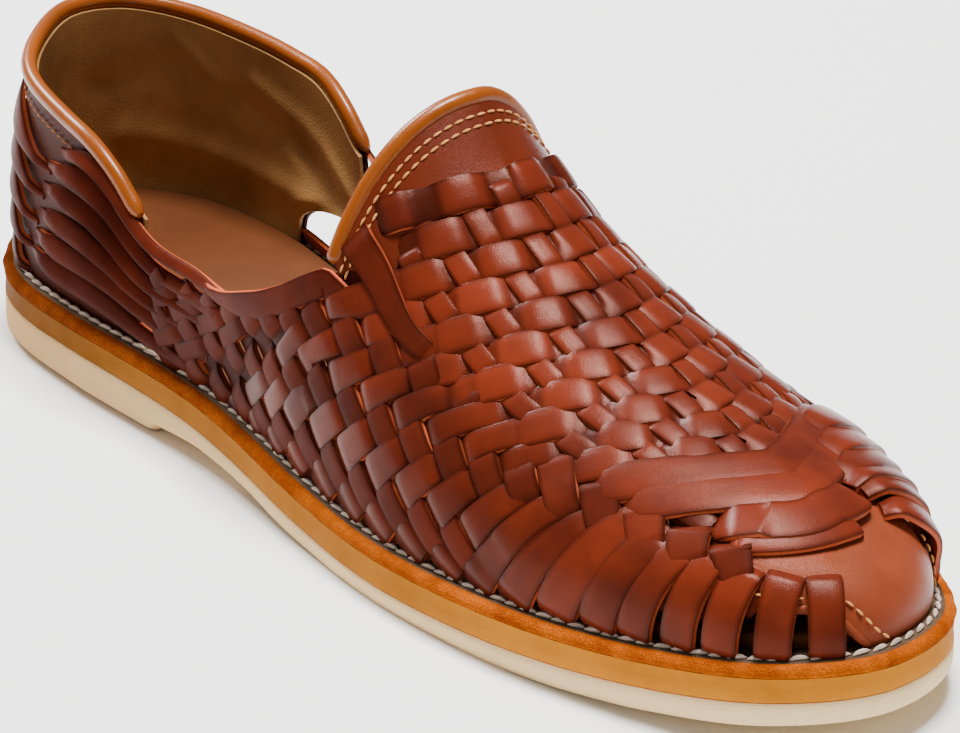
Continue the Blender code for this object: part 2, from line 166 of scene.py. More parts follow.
def mix_colours(tree: bpy.types.NodeTree, links: dict, inputs: dict,
                blend: str = "MIX") -> bpy.types.NodeSocket:
    """Mix the colours A and B by Factor."""
    node = add_node(tree, "ShaderNodeMix", links, inputs, data_type="RGBA", blend_type=blend)
    return node.outputs["Result"]


def combine(tree: bpy.types.NodeTree, operation: str, first: bpy.types.NodeSocket,
            second: bpy.types.NodeSocket) -> bpy.types.NodeSocket:
    """Add or multiply two values."""
    node = add_node(tree, "ShaderNodeMath", {0: first, 1: second}, operation=operation)
    return node.outputs["Value"]


def attribute(tree: bpy.types.NodeTree, name: str) -> bpy.types.NodeSocket:
    """Read a mesh attribute's value."""
    return add_node(tree, "ShaderNodeAttribute", attribute_name=name).outputs["Fac"]


@dataclass(frozen=True)
class Finish:
    """One surface finish: colours, gloss and the size of its grain.

    Attributes:
        name: Plain name of the material and how its surface was made.
        base: Main colour, sRGB hex.
        dark: Colour of its hollows and darker patches.
        edge: Colour of a strip's cut edge.
        roughness: Mean roughness.
        coat: Weight of the polish on top.
        grain_mm: Distance between grain pebbles.
        grain_depth_mm: Height of the grain.
        patch_mm: Size of the patches where the colour drifts.
        patch_mix: How far the colour drifts in them.
        shine: Level of its plain reflection.
        tint: Colour of that reflection.
        heel_shade_tint: Painted shade towards the heel, a colour that the surface is multiplied by,
            white where there is none.
    """

    name: str
    base: str
    dark: str
    edge: str
    roughness: float
    coat: float
    grain_mm: float
    grain_depth_mm: float
    patch_mm: float
    patch_mix: float
    shine: float = 0.2
    tint: str = "FFC8A8"
    heel_shade_tint: str = WHITE

    def material(self, has_strips: bool = False) -> bpy.types.Material:
        """Build the finish as a node material on Object coordinates.

        Args:
            has_strips: Whether the mesh has the attributes across and tone.

        Returns:
            The material.
        """
        material = bpy.data.materials.new(self.name)
        material.use_nodes = True
        tree = material.node_tree
        shader = tree.nodes["Principled BSDF"]
        place = add_node(tree, "ShaderNodeTexCoord").outputs["Object"]
        patches = add_node(tree, "ShaderNodeTexNoise", {"Vector": place},
                           {"Scale": 1 / (self.patch_mm * MM), "Detail": 3.0,
                            "Roughness": 0.6}).outputs["Fac"]
        drift = map_range(tree, patches, 0.35, 0.7, 0.0, self.patch_mix)
        out = mix_colours(tree, {"Factor": drift},
                          {"A": linear(self.base), "B": linear(self.dark)})
        if has_strips:
            out = self.strip_colour(tree, out)
        # painted shade that darkens the colour towards the heel
        if self.heel_shade_tint != WHITE:
            out = self.heel_shaded_colour(tree, place, out)
        tree.links.new(out, shader.inputs["Base Color"])
        pores = add_node(tree, "ShaderNodeTexVoronoi", {"Vector": place},
                         {"Scale": 1 / (self.grain_mm * MM)}, feature="DISTANCE_TO_EDGE")
        pebble = map_range(tree, pores.outputs["Distance"], 0.0, 0.25)
        crease = add_node(tree, "ShaderNodeTexNoise", {"Vector": place},
                          {"Scale": 1 / (6 * self.grain_mm * MM), "Detail": 5.0})
        bump = add_node(tree, "ShaderNodeBump",
                        {"Height": combine(tree, "ADD", pebble, crease.outputs["Fac"])},
                        {"Distance": self.grain_depth_mm * MM, "Strength": 0.7})
        tree.links.new(bump.outputs["Normal"], shader.inputs["Normal"])
        gloss = map_range(tree, patches, 0.3, 0.75, self.roughness - 0.05, self.roughness + 0.08)
        tree.links.new(gloss, shader.inputs["Roughness"])
        for name, value in (
            ("Coat Weight", self.coat), ("Coat Roughness", 0.2),
            ("Specular IOR Level", self.shine), ("Specular Tint", linear(self.tint)),
        ):
            shader.inputs[name].default_value = value
        return material

    def heel_shaded_colour(self, tree: bpy.types.NodeTree, place: bpy.types.NodeSocket,
                      base: bpy.types.NodeSocket) -> bpy.types.NodeSocket:
        """Multiply the colour by the heel's painted shade, a tint that fades to none at the toe.

        Args:
            tree: The material's node tree.
            place: Object coordinates.
            base: The colour so far.

        Returns:
            The changed colour.
        """
        parts = add_node(tree, "ShaderNodeSeparateXYZ", {"Vector": place})
        along = map_range(tree, parts.outputs["X"], *HEEL_TO_TOE)
        tint = mix_colours(tree, {"Factor": along},
                           {"A": linear(self.heel_shade_tint), "B": linear(WHITE)})
        return mix_colours(tree, {"A": base, "B": tint}, {"Factor": 1.0}, "MULTIPLY")

    def strip_colour(self, tree: bpy.types.NodeTree,
                     base: bpy.types.NodeSocket) -> bpy.types.NodeSocket:
        """Shift each strip's brightness, darken its borders with painted shade and lay the raw
        colour on its cut edges.

        Args:
            tree: The material's node tree.
            base: The colour so far.

        Returns:
            The changed colour.
        """
        across = attribute(tree, "across")
        # painted shade: each strip darkens towards its borders, where it meets its neighbours
        border_shade = map_range(tree, across, 0.35, 0.475, 1.0, 0.5)
        value = combine(tree, "MULTIPLY", attribute(tree, "tone"), border_shade)
        shifted = add_node(tree, "ShaderNodeHueSaturation", {"Color": base, "Value": value})
        cut = map_range(tree, across, 0.478, 0.50)
        share = combine(tree, "MULTIPLY", cut, attribute(tree, "raw"))
        return mix_colours(tree, {"Factor": share, "A": shifted.outputs["Color"]},
                           {"B": linear(self.edge)})


# Glazed red-brown cowhide: a clear shine over a fine grain, raw orange where it is cut
STRIP_LEATHER = Finish("glazed_strip_leather", "6A2614", "38110A", "C25A36", 0.28, 0.0, 0.45,
                       0.018, 22.0, 0.75, 0.14, "FFBCAA")
# The same hide down the sides, drier, and darker with painted shade
SHADED_SIDE_LEATHER = Finish("dry_shaded_side_leather", "541E11", "2E0F0A", "C25A36", 0.36, 0.0, 0.5, 0.025,
                      18.0, 0.7, 0.03, "FFB8A0")
# The same hide in one piece, with its pebbled grain showing
PLATE_LEATHER = Finish("glazed_plate_leather", "602412", "38130B", "C25A36", 0.26, 0.0, 0.45,
                       0.022, 26.0, 0.6, 0.24, "FFC0B0")
# The same hide at the heel, darker with painted shade
SHADED_COUNTER_LEATHER = Finish("glazed_shaded_counter_leather", "42180E", "280D07", "C25A36", 0.38, 0.0, 0.6,
                         0.05, 18.0, 0.6, 0.05, "FFB8A0")
# The same hide stretched smooth over the toe
CAP_LEATHER = Finish("stretched_cap_leather", "863E26", "602614", "C25A36", 0.34, 0.0, 0.45,
                     0.03, 16.0, 0.5, 0.16, "FFB8A4")
# Polished tan calf, folded over a cord
BINDING_LEATHER = Finish("polished_tan_binding", "843F0A", "602C06", "C8823C", 0.34, 0.35, 0.5,
                         0.03, 14.0, 0.5)
# Soft undyed pigskin: matt, brown, drifting in tone
LINING_LEATHER = Finish("pigskin_lining", "A87A48", "6E4A2A", "B98A50", 0.6, 0.0, 0.9, 0.06,
                        30.0, 0.8)
# Dry vegetable-tanned leather
INSOLE_LEATHER = Finish("vegetable_tanned_insole", "5C321A", "42220E", "B98A60", 0.62, 0.0, 0.7,
                        0.05, 30.0, 0.6)
# Waxed sole leather, darkened towards the heel with painted shade
MIDSOLE_LEATHER = Finish("waxed_sole_leather", "C27A1C", "98580E", "C8641E", 0.55, 0.0, 0.8,
                         0.05, 20.0, 0.55, 0.03, "FFC8A8", "7C7676")
# The rough flesh side along the welt's rim, darkened towards the heel with painted shade
RIM_LEATHER = Finish("rough_welt_rim", "BE5C0A", "8E3A04", "C8641E", 0.85, 0.0, 0.7, 0.35, 7.0,
                     0.9, 0.03, "FFC8A8", "8E8A88")
# The welt's ledge, greyish brown, darkened with painted shade under the upper
SHADED_LEDGE_LEATHER = Finish("shaded_greyish_ledge", "5E4A38", "33261C", "5E4A38", 0.75, 0.0, 0.6, 0.1,
                       6.0, 0.7)
# Natural crepe: matt, cream, slightly pitted; painted shade darkens and warms it towards the heel
CREPE = Finish("natural_crepe_rubber", "FFDEA8", "F2CA92", "D8C2A4", 0.75, 0.0, 0.9, 0.08, 26.0,
               0.5, 0.04, "FFE0C0", "C4B09C")
# Waxed grey-white welt thread, soiled
WELT_THREAD = Finish("waxed_welt_thread", "CDBBAA", "85715F", "8F7C6C", 0.7, 0.0, 0.3, 0.05,
                     4.0, 0.7)
# Pale orange upper thread
UPPER_THREAD = Finish("orange_upper_thread", "DC9A5A", "B4703A", "B4703A", 0.6, 0.0, 0.3, 0.05,
                      4.0, 0.5)
# Brown upper thread
DARK_THREAD = Finish("brown_collar_thread", "A0602C", "6A3616", "6A3616", 0.6, 0.0, 0.3, 0.05,
                     4.0, 0.5)


def join_parts(parts: list[MeshParts]) -> MeshParts:
    """Stack meshes and their point attributes into one.

    Args:
        parts: Vertices, faces and attributes of each.

    Returns:
        The joined mesh.
    """
    faces: list[tuple[int, ...]] = []
    base = 0
    for vertices, own, _ in parts:
        faces += [tuple(k + base for k in face) for face in own]
        base += len(vertices)
    names = parts[0][2].keys()
    attributes = {name: np.concatenate([part[2][name] for part in parts]) for name in names}
    return np.vstack([part[0] for part in parts]), faces, attributes


def add_piece(name: str, parts: MeshParts, finish: Finish,
              replaces: tuple[str, ...] = (), has_strips: bool = False) -> bpy.types.Object:
    """Put a mesh in the scene as a piece that rides on the shoe.

    Args:
        name: The piece's plain name.
        parts: Its vertices in the shoe's frame, faces and point attributes.
        finish: Its finish.
        replaces: Nodes of the frame that it stands for.
        has_strips: Whether its material reads the strips' attributes.

    Returns:
        The piece.
    """
    vertices, faces, attributes = parts
    mesh = bpy.data.meshes.new(name)
    mesh.from_pydata(vertices.tolist(), [], faces)
    for key, values in attributes.items():
        layer = mesh.attributes.new(key, "FLOAT", "POINT")
        layer.data.foreach_set("value", np.asarray(values, np.float32))
    mesh.validate()
    mesh.shade_smooth()
    mesh.set_sharp_from_angle(angle=math.radians(50))
    mesh.materials.append(finish.material(has_strips))
    piece = bpy.data.objects.new(name, mesh)
    bpy.context.collection.objects.link(piece)
    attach(piece, "root")
    if replaces:
        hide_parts(*replaces)
    LOG.info("%s: %d vertices", name, len(vertices))
    return piece


def add_strips(name: str, parts: list[MeshParts], finish: Finish,
               replaces: tuple[str, ...] = ()) -> None:
    """Put strips in the scene as one piece of the upper."""
    add_piece(name, join_parts(parts), finish, replaces, True)


def loft(rings: Array, closed_ends: bool) -> tuple[Array, list[tuple[int, ...]]]:
    """Join rings of equal length by quads, with a face over each end if asked.

    Args:
        rings: Points as rings x points x 3, each ring closed.
        closed_ends: Whether the first and last ring are filled.

    Returns:
        Vertices and faces.
    """
    count, around = rings.shape[:2]
    low = (np.arange(count - 1)[:, None] * around + np.arange(around)).ravel()
    after = (np.arange(count - 1)[:, None] * around + (np.arange(around) + 1) % around).ravel()
    faces = np.stack([low, after, after + around, low + around], 1).tolist()
    faces = [tuple(face) for face in faces]
    if closed_ends:
        faces.append(tuple(range(around - 1, -1, -1)))
        faces.append(tuple(range((count - 1) * around, count * around)))
    return rings.reshape(-1, 3), faces


def unit(vectors: Array) -> Array:
    """Scale vectors to length one."""
    return vectors / np.maximum(np.linalg.norm(vectors, axis=-1, keepdims=True), 1e-12)


# A strip's section: across as a share of its width, height as a share of its thickness, and the
# value that its material reads, over 0.5 on the cut edges and the flesh side
STRIP_SECTION = np.array([
    (-0.50, 0.34, 0.50), (-0.475, 0.84, 0.475), (-0.38, 0.99, 0.38), (-0.15, 1.05, 0.15),
    (0.15, 1.05, 0.15), (0.38, 0.99, 0.38), (0.475, 0.84, 0.475), (0.50, 0.34, 0.50),
    (0.50, 0.0, 0.60), (0.0, 0.0, 0.60), (-0.50, 0.0, 0.60),
])


def ribbon(centre: Array, normal: Array, width: Array, thick: float, tone: Array | float,
           roll: Array | float = 0.0, raw: float = 0.45) -> MeshParts:
    """A flat strip with rounded edges along a path.

    Each point of the path carries STRIP_SECTION, laid out along the path's side direction
    (normal x tangent) and its normal, turned by roll about the tangent.

    Args:
        centre: The path's points, under the strip.
        normal: The surface's directions there.
        width: The strip's width, one for each point.
        thick: Its thickness.
        tone: Brightness of its colour, random and with painted shade where a caller adds it, one or
            one for each point.
        roll: Turn about the path, in radians.
        raw: How far its cut edges show the undyed leather.

    Returns:
        Vertices, faces and attributes.
    """
    tangent = unit(np.gradient(centre, axis=0))
    side = unit(np.cross(normal, tangent))
    up = np.cross(tangent, side)
    turn = np.broadcast_to(np.asarray(roll, float), (len(centre),))[:, None]
    side, up = side * np.cos(turn) + up * np.sin(turn), up * np.cos(turn) - side * np.sin(turn)
    width = np.broadcast_to(np.asarray(width, float), (len(centre),))
    across = STRIP_SECTION[:, 0][None, :, None] * width[:, None, None] * side[:, None, :]
    raised = STRIP_SECTION[:, 1][None, :, None] * thick * up[:, None, :]
    vertices, faces = loft(centre[:, None, :] + across + raised, True)
    return vertices, faces, {
        "across": np.tile(STRIP_SECTION[:, 2], len(centre)),
        "tone": np.repeat(np.broadcast_to(tone, (len(centre),)), len(STRIP_SECTION)),
        "raw": np.full(len(vertices), raw),
    }


class Side:
    """One side of the sole's outline, from the heel's back to the toe's tip."""

    def __init__(self, last: "Last", first: int, end: int) -> None:
        rows = np.array(last.outline) * (last.length, last.ball)
        count = len(rows)
        fine = np.linspace(0.0, 1.0, 25)[:, None]
        pieces = []
        step = 1 if end > first else -1
        for at in range(first, end, step):
            a, b, c, d = (rows[(at + shift * step) % count] for shift in (-1, 0, 1, 2))
            pieces.append(
                0.5 * (2 * b + (c - a) * fine + (2 * a - 5 * b + 4 * c - d) * fine ** 2
                       + (3 * b - a - 3 * c + d) * fine ** 3)[:-1]
            )
        pieces.append(rows[end % count][None])
        self.points = np.vstack(pieces)
        spans = np.linalg.norm(np.diff(self.points, axis=0), axis=1)
        self.shares = np.concatenate([[0.0], np.cumsum(spans)])
        self.length = float(self.shares[-1])
        self.shares = self.shares / self.length
        tangents = unit(np.gradient(self.points, self.shares, axis=0))
        sign = np.sign(self.points[len(self.points) // 2, 1])
        self.inward = np.stack([-tangents[:, 1], tangents[:, 0]], 1) * -sign
        self.inward[0] = (1.0, 0.0)
        self.inward[-1] = (-1.0, 0.0)

    def at(self, share: Array, inset: Array | float) -> Array:
        """The outline's points at shares of its length, moved inwards by inset."""
        point = np.stack([np.interp(share, self.shares, self.points[:, k]) for k in (0, 1)], -1)
        return point + self.normal(share) * np.asarray(inset, float)[..., None]

    def normal(self, share: Array) -> Array:
        """The inward direction at shares of the side's length."""
        way = np.stack([np.interp(share, self.shares, self.inward[:, k]) for k in (0, 1)], -1)
        return unit(way)

    def share_of(self, along: Array) -> Array:
        """The share of the side's length at a share along the sole."""
        return np.interp(np.asarray(along), self.points[:, 0] / self.points[-1, 0], self.shares)


@dataclass
class Last:
    """The last's surface: the outline, the sole's heights and the upper's sections.

    Attributes:
        length: The sole's length.
        ball: Its width at the ball.
        outsole_heel: The outsole's depth at the heel.
        midsole: The midsole's depth.
        spring: The toe's rise.
        ledge: Width of the sole's ledge round the upper.
        collar: Height of the collar's back.
        instep: Height of the tongue's top.
        counter_bulge: How far the counter swells.
        vamp_bulge: How far the vamp's wall swells.
        toe_slope: Slope of the crown past the last section.
        gap: Clearance between pieces.
    """

    length: float = 0.292
    ball: float = 0.0945
    outsole_heel: float = 0.0100
    midsole: float = 0.0080
    spring: float = 0.0067
    ledge: float = 0.0045
    collar: float = 0.0655
    instep: float = 0.0940
    counter_bulge: float = 0.0015
    vamp_bulge: float = 0.0015
    toe_slope: float = 0.40
    gap: float = 0.0003

    # Share of length, share of ball width, from the heel's back along the outer side
    outline = (
        (0.000, 0.000), (0.022, -0.172), (0.085, -0.335), (0.190, -0.377), (0.350, -0.374),
        (0.500, -0.428), (0.630, -0.459), (0.760, -0.421), (0.880, -0.317), (0.960, -0.187),
        (1.000, 0.020), (0.975, 0.260), (0.900, 0.419), (0.800, 0.525), (0.700, 0.539),
        (0.570, 0.451), (0.430, 0.330), (0.300, 0.303), (0.180, 0.341), (0.085, 0.314),
        (0.022, 0.187),
    )
    toe_row = 10
    # Share of length, share of spring
    underside_rows = (
        (0.000, 0.00), (0.290, 0.00), (0.297, 0.27), (0.350, 0.43), (0.430, 0.40),
        (0.500, 0.14), (0.560, 0.00), (0.740, 0.00), (0.800, 0.09), (0.860, 0.27),
        (0.930, 0.60), (1.000, 1.00),
    )
    # Share of length, outsole's top, midsole's depth
    layers = (
        (0.00, 1.03, 0.92), (0.10, 0.95, 0.92), (0.25, 0.97, 0.95), (0.40, 0.77, 1.03),
        (0.55, 0.44, 1.05), (0.70, 0.46, 1.05), (0.85, 0.68, 1.01), (1.00, 1.18, 0.98),
    )
    # Share of length, crown's height, crown's place across, shoulder, wall, side's share of girth
    sections = (
        (0.518, 0.965, 0.055, 0.60, 0.58, 0.49),
        (0.562, 0.840, 0.050, 0.60, 0.56, 0.44),
        (0.668, 0.650, 0.045, 0.58, 0.54, 0.38),
        (0.777, 0.525, 0.055, 0.60, 0.56, 0.36),
        (0.850, 0.465, 0.070, 0.64, 0.58, 0.38),
        (0.897, 0.430, 0.080, 0.68, 0.62, 0.42),
    )
    # Share of length, height, lean of the outer side, lean of the inner side
    topline = (
        (0.015, 1.010, 0.035, 0.035), (0.100, 0.950, 0.020, 0.010), (0.170, 0.915, 0.005, -0.020),
        (0.210, 0.885, 0.000, -0.035), (0.240, 0.815, 0.000, -0.040),
        (0.262, 0.735, 0.000, -0.045), (0.280, 0.700, -0.005, -0.050),
        (0.340, 0.680, -0.010, -0.050), (0.400, 0.690, -0.010, -0.035),
        (0.440, 0.750, 0.005, -0.015), (0.470, 0.820, 0.030, 0.020),
    )
    feather_start = 0.503
    feather_end = 0.850
    rows = 61

    def __post_init__(self) -> None:
        """Work out both sides and the fine grids of the vamp and of the rear walls."""
        self.outer = Side(self, 0, self.toe_row)
        self.inner = Side(self, len(self.outline), self.toe_row)
        edges = np.vstack([self.outer.points, self.inner.points])
        middle = 0.5 * (edges.min(0) + edges.max(0))
        self.shift = np.array([middle[0], middle[1], 0.0])
        self.build_vamp()
        self.build_rear()

    def outsole_top(self, x: Array) -> Array:
        """Height of the border between outsole and midsole."""
        return self.outsole_heel * smooth_table(self.layers, 1, x / self.length)

    def midsole_top(self, x: Array) -> Array:
        """Height of the ledge that the upper stands on."""
        return self.outsole_top(x) + self.midsole * smooth_table(self.layers, 2, x / self.length)

    def underside(self, x: Array) -> Array:
        """Height of the outsole's underside."""
        table = np.array(self.underside_rows)
        return self.spring * np.interp(x / self.length, table[:, 0], table[:, 1])

    def curve(self, corners: tuple, shares: Array) -> Array:
        """Points at shares of the length of a cubic with four corners, from its last corner."""
        t = np.linspace(0.0, 1.0, 121)[:, None]
        a, b, c, d = corners[::-1]
        line = (1 - t) ** 3 * a + 3 * t * (1 - t) ** 2 * b + 3 * t * t * (1 - t) * c + t ** 3 * d
        runs = np.concatenate([[0.0], np.cumsum(np.linalg.norm(np.diff(line, axis=0), axis=1))])
        return np.stack([np.interp(shares, runs / runs[-1], line[:, k]) for k in range(3)], 1)

    def foot(self, side: Side, share: float) -> tuple[Array, Array]:
        """The point where the upper meets the ledge, and its inward direction."""
        flat = side.at(np.array(share), np.array(self.ledge))
        point = np.array([flat[0], flat[1], self.midsole_top(flat[0]) + self.gap])
        return point, np.append(side.normal(np.array(share)), 0.0)

    def vamp_column(self, along: float, side: Side, share: float) -> Array:
        """A column of the vamp, from the feather line to the spine, at even shares."""
        top = np.array([
            along * self.length,
            self.ball * smooth_table(self.sections, 2, along),
            self.instep * smooth_table(self.sections, 1, along),
        ])
        foot, inward = self.foot(side, share)
        out = foot - top
        reach = math.hypot(out[0], out[1])
        shoulder = smooth_table(self.sections, 3, along)
        second = top + shoulder * out * (1, 1, 0)
        second[2] -= self.toe_slope * max(0.0, out[0] / reach) * shoulder * reach
        third = foot - inward * self.vamp_bulge
        third[2] += smooth_table(self.sections, 4, along) * (second[2] - foot[2])
        return self.curve((top, second, third, foot), np.linspace(0.0, 1.0, self.rows))

    def vamp_side(self, side: Side, shares: Array) -> list[Array]:
        """Columns of one side's vamp at shares of the way from the throat to the last section."""
        start, end = self.sections[0][0], self.sections[-1][0]
        feet = self.feather_start + (self.feather_end - self.feather_start) * shares
        return [self.vamp_column(start + (end - start) * share, side, float(side.share_of(foot)))
                for share, foot in zip(shares, feet)]

    def toe_columns(self, shares: Array) -> list[Array]:
        """Columns of the vamp at shares of the way round the toe, from the outer side."""
        first, last = (float(side.share_of(self.feather_end)) for side in (self.outer, self.inner))
        end = self.sections[-1][0]
        outer_run = (1 - first) * self.outer.length
        toe_run = outer_run + (1 - last) * self.inner.length
        columns = []
        for run in shares * toe_run:
            if run < outer_run:
                columns.append(self.vamp_column(end, self.outer, first + run / self.outer.length))
            else:
                share = 1 - (run - outer_run) / self.inner.length
                columns.append(self.vamp_column(end, self.inner, share))
        return columns

    def build_vamp(self) -> None:
        """Grid of the vamp: place 0 to 1 outer side, 1 to 2 round the toe, 2 to 3 inner side."""
        straight = np.linspace(0.0, 1.0, 91)
        bend = np.linspace(0.0, 1.0, 121)[1:-1]
        start, end = self.sections[0][0], self.sections[-1][0]
        sides = smooth_table(self.sections, 5, start + (end - start) * straight)
        self.vamp = np.array(self.vamp_side(self.outer, straight) + self.toe_columns(bend)
                             + self.vamp_side(self.inner, straight)[::-1])
        self.vamp_places = np.concatenate([straight, 1 + bend, 3 - straight[::-1]])
        self.side_shares = np.concatenate([sides, np.full(len(bend), self.sections[-1][5]),
                                           sides[::-1]])
        self.vamp_normals = self.grid_normals(self.vamp, self.vamp_places)

    def build_rear(self) -> None:
        """Grids of the walls behind the throat, one for each side, from heel to throat."""
        self.rear: dict[SideName, Array] = {}
        self.rear_normals: dict[SideName, Array] = {}
        self.rear_alongs = np.concatenate([np.linspace(0.0, 0.05, 30)[:-1],
                                           np.linspace(0.05, self.feather_start, 110)])
        rows = np.linspace(0.0, 1.0, self.rows)
        for name, side, lean, at in (
            (SideName.OUTER, self.outer, 2, 0), (SideName.INNER, self.inner, 3, -1),
        ):
            shares = np.linspace(0.0, self.side_shares[at], self.rows)
            throat = np.stack([np.interp(shares, rows, self.vamp[at][:, k]) for k in range(3)], 1)
            grid = np.array([self.rear_column(side, lean, along, throat)
                             for along in self.rear_alongs])
            self.rear[name] = grid
            self.rear_normals[name] = -name.value * self.grid_normals(grid, self.rear_alongs)

    def rear_column(self, side: Side, lean: int, along: float, throat: Array) -> Array:
        """A column of a wall behind the throat, shaped more like the throat's the nearer it is.

        Args:
            side: The side's outline.
            lean: The topline's column with the lean of that side.
            along: Share of length of the column's foot.
            throat: The vamp's first column, up to the wall's top.

        Returns:
            Points from the feather line to the topline.
        """
        even = np.linspace(0.0, 1.0, self.rows)[:, None]
        bent = throat - throat[0] - even * (throat[-1] - throat[0])
        foot, inward = self.foot(side, float(side.share_of(along)))
        here = foot[0] / self.length
        top = foot + inward * self.ball * smooth_table(self.topline, lean, here)
        top[2] = self.collar * smooth_table(self.topline, 1, here)
        last_row = self.topline[-1][0]
        if here > last_row:
            reach = (here - last_row) / (throat[0, 0] / self.length - last_row)
            top = top + reach * (foot + (throat[-1] - throat[0]) - top)
        handle = np.array([0.0, 0.0, (top[2] - foot[2]) / 3])
        bulge = inward * self.counter_bulge * (1 - ease(0.25, 0.40, here))
        own = self.curve((top, top - bulge - handle, foot - bulge + handle, foot), even[:, 0])
        near = float(ease(0.40, self.feather_start, here))
        chord = foot + even * (top - foot)
        return chord + (1 - near) * (own - chord) + near * bent

    def grid_normals(self, grid: Array, places: Array) -> Array:
        """Unit normals of a grid: the cross product of its two directions."""
        along = np.gradient(grid, places, axis=0)
        up = np.gradient(grid, axis=1)
        normals = np.cross(along, up)
        flat = np.linalg.norm(normals, axis=-1) < 1e-9
        normals[flat] = (0.0, 0.0, 1.0)
        return unit(normals)

    def read(self, grid: Array, places: Array, place: Array, row: Array) -> Array:
        """Read a grid between its points, linearly both ways."""
        at = np.clip(np.searchsorted(places, place) - 1, 0, len(places) - 2)
        u = np.clip((place - places[at]) / (places[at + 1] - places[at]), 0.0, 1.0)[..., None]
        v = np.clip(row, 0.0, 1.0) * (self.rows - 1)
        low = np.clip(v.astype(int), 0, self.rows - 2)
        v = (v - low)[..., None]
        return ((1 - u) * ((1 - v) * grid[at, low] + v * grid[at, low + 1])
                + u * ((1 - v) * grid[at + 1, low] + v * grid[at + 1, low + 1]))

    def on_vamp(self, place: Array, row: Array) -> tuple[Array, Array]:
        """Points and normals of the vamp at places 0 to 3 and rows from feather to spine."""
        point = self.read(self.vamp, self.vamp_places, place, row)
        normal = unit(self.read(self.vamp_normals, self.vamp_places, place, row))
        return point - self.shift, normal

    def on_wall(self, name: SideName, along: Array, height: Array) -> tuple[Array, Array]:
        """Points and normals of a side wall at shares of length and of its height.

        Behind the throat the height runs from the feather line to the topline, and past it to
        the edge between the side strips and the top weave.

        Args:
            name: The side.
            along: Shares of length of the feather line's point.
            height: Share of the wall's height; up to 1.3 past the throat.

        Returns:
            Points and normals.
        """
        along, height = np.broadcast_arrays(np.asarray(along, float), np.asarray(height, float))
        a = (along - self.feather_start) / (self.feather_end - self.feather_start)
        a = np.clip(a, 0.0, 1.0)
        place = a if name is SideName.OUTER else 3 - a
        row = height * np.interp(place, self.vamp_places, self.side_shares)
        front, front_normal = self.on_vamp(place, row)
        rear = self.read(self.rear[name], self.rear_alongs, along, height)
        rear_normal = unit(self.read(self.rear_normals[name], self.rear_alongs, along, height))
        behind = (along < self.feather_start)[..., None]
        return (np.where(behind, rear - self.shift, front),
                np.where(behind, rear_normal, front_normal))

    def wall_height(self, name: SideName, along: Array) -> Array:
        """Length of the wall from the feather line to its top."""
        rows = np.linspace(0.0, 1.0, 13)
        points, _ = self.on_wall(name, np.asarray(along)[:, None], rows[None, :])
        return np.linalg.norm(np.diff(points, axis=1), axis=2).sum(1)

    def outline_ring(self, inset: float | Callable[[Array], Array],
                     height: Callable[[Array], Array], count: int = 160) -> Array:
        """A closed ring round the outline: heel, outer side, toe, inner side."""
        halves = []
        for side in (self.outer, self.inner):
            share = np.linspace(0.0, 1.0, count)
            move = inset(share) if callable(inset) else np.full(count, inset)
            flat = side.at(share, move)
            z = height(side.at(share, np.zeros(count))[:, 0])
            halves.append(np.column_stack([flat, z]) - self.shift)
        return np.vstack([halves[0], halves[1][-2:0:-1]])


def fill_ladder(count: int, base: int) -> list[tuple[int, ...]]:
    """Faces that close a ring of the outline by rungs between its two sides."""
    half = count // 2
    faces = [(base, base + 1, base + count - 1)]
    for at in range(1, half - 1):
        faces.append((base + at, base + at + 1, base + count - at - 1, base + count - at))
    faces.append((base + half - 1, base + half, base + half + 1))
    return faces


def stack(rings: list[Array]) -> MeshParts:
    """A closed solid through rings stacked upwards."""
    vertices, faces = loft(np.array(rings), False)
    count = len(rings[0])
    low = fill_ladder(count, 0)
    high = fill_ladder(count, (len(rings) - 1) * count)
    faces = [face[::-1] for face in faces] + low + [face[::-1] for face in high]
    return vertices, faces, {}


@dataclass(frozen=True)
class Stitch:
    """One seam's stitches.

    Attributes:
        step: Distance between them.
        length: A stitch's length.
        thick: The thread's diameter.
        slant: Turn of each stitch about its normal, in radians.
    """

    step: float
    length: float
    thick: float
    slant: float = 0.0


WELT_STITCH = Stitch(0.0042, 0.0040, 0.0011, 0.18)
COLLAR_STITCH = Stitch(0.0026, 0.0019, 0.0005)
THROAT_STITCH = Stitch(0.0027, 0.0021, 0.0006)
CAP_STITCH = Stitch(0.0026, 0.0020, 0.0006)


def seam(path: Array, outward: Array, rise: float, stitch: Stitch) -> MeshParts:
    """Short thread loops at even steps along a path: each a bead stretched along the seam.

    A stitch is a tube of six sides whose radius is thick/2 sin(pi t)^0.4 along its length.

    Args:
        path: The seam's path.
        outward: Outward directions there.
        rise: Height of the stitches over the path.
        stitch: Size of the stitches.

    Returns:
        Vertices, faces and attributes.
    """
    points, normals = space_evenly(path + outward * rise, outward, stitch.step)
    way = unit(np.gradient(points, axis=0))
    side = unit(np.cross(normals, way))
    cos, sin = math.cos(stitch.slant), math.sin(stitch.slant)
    way, side = way * cos + side * sin, side * cos - way * sin
    t = np.linspace(0.0, 1.0, 6)
    turn = np.linspace(0.0, 2 * np.pi, 6, endpoint=False)
    radius = stitch.thick / 2 * np.maximum(np.sin(np.pi * t), 0.02) ** 0.4
    lift = stitch.thick * 0.25 * np.sin(np.pi * t)
    reach = (t - 0.5) * stitch.length
    ring = (
        points[:, None, None] + way[:, None, None] * reach[None, :, None, None]
        + normals[:, None, None] * (lift[:, None] + radius[:, None] * np.sin(turn))[..., None]
        + side[:, None, None] * (radius[:, None] * np.cos(turn))[..., None]
    )
    return join_parts([(*loft(one, True), {}) for one in ring])


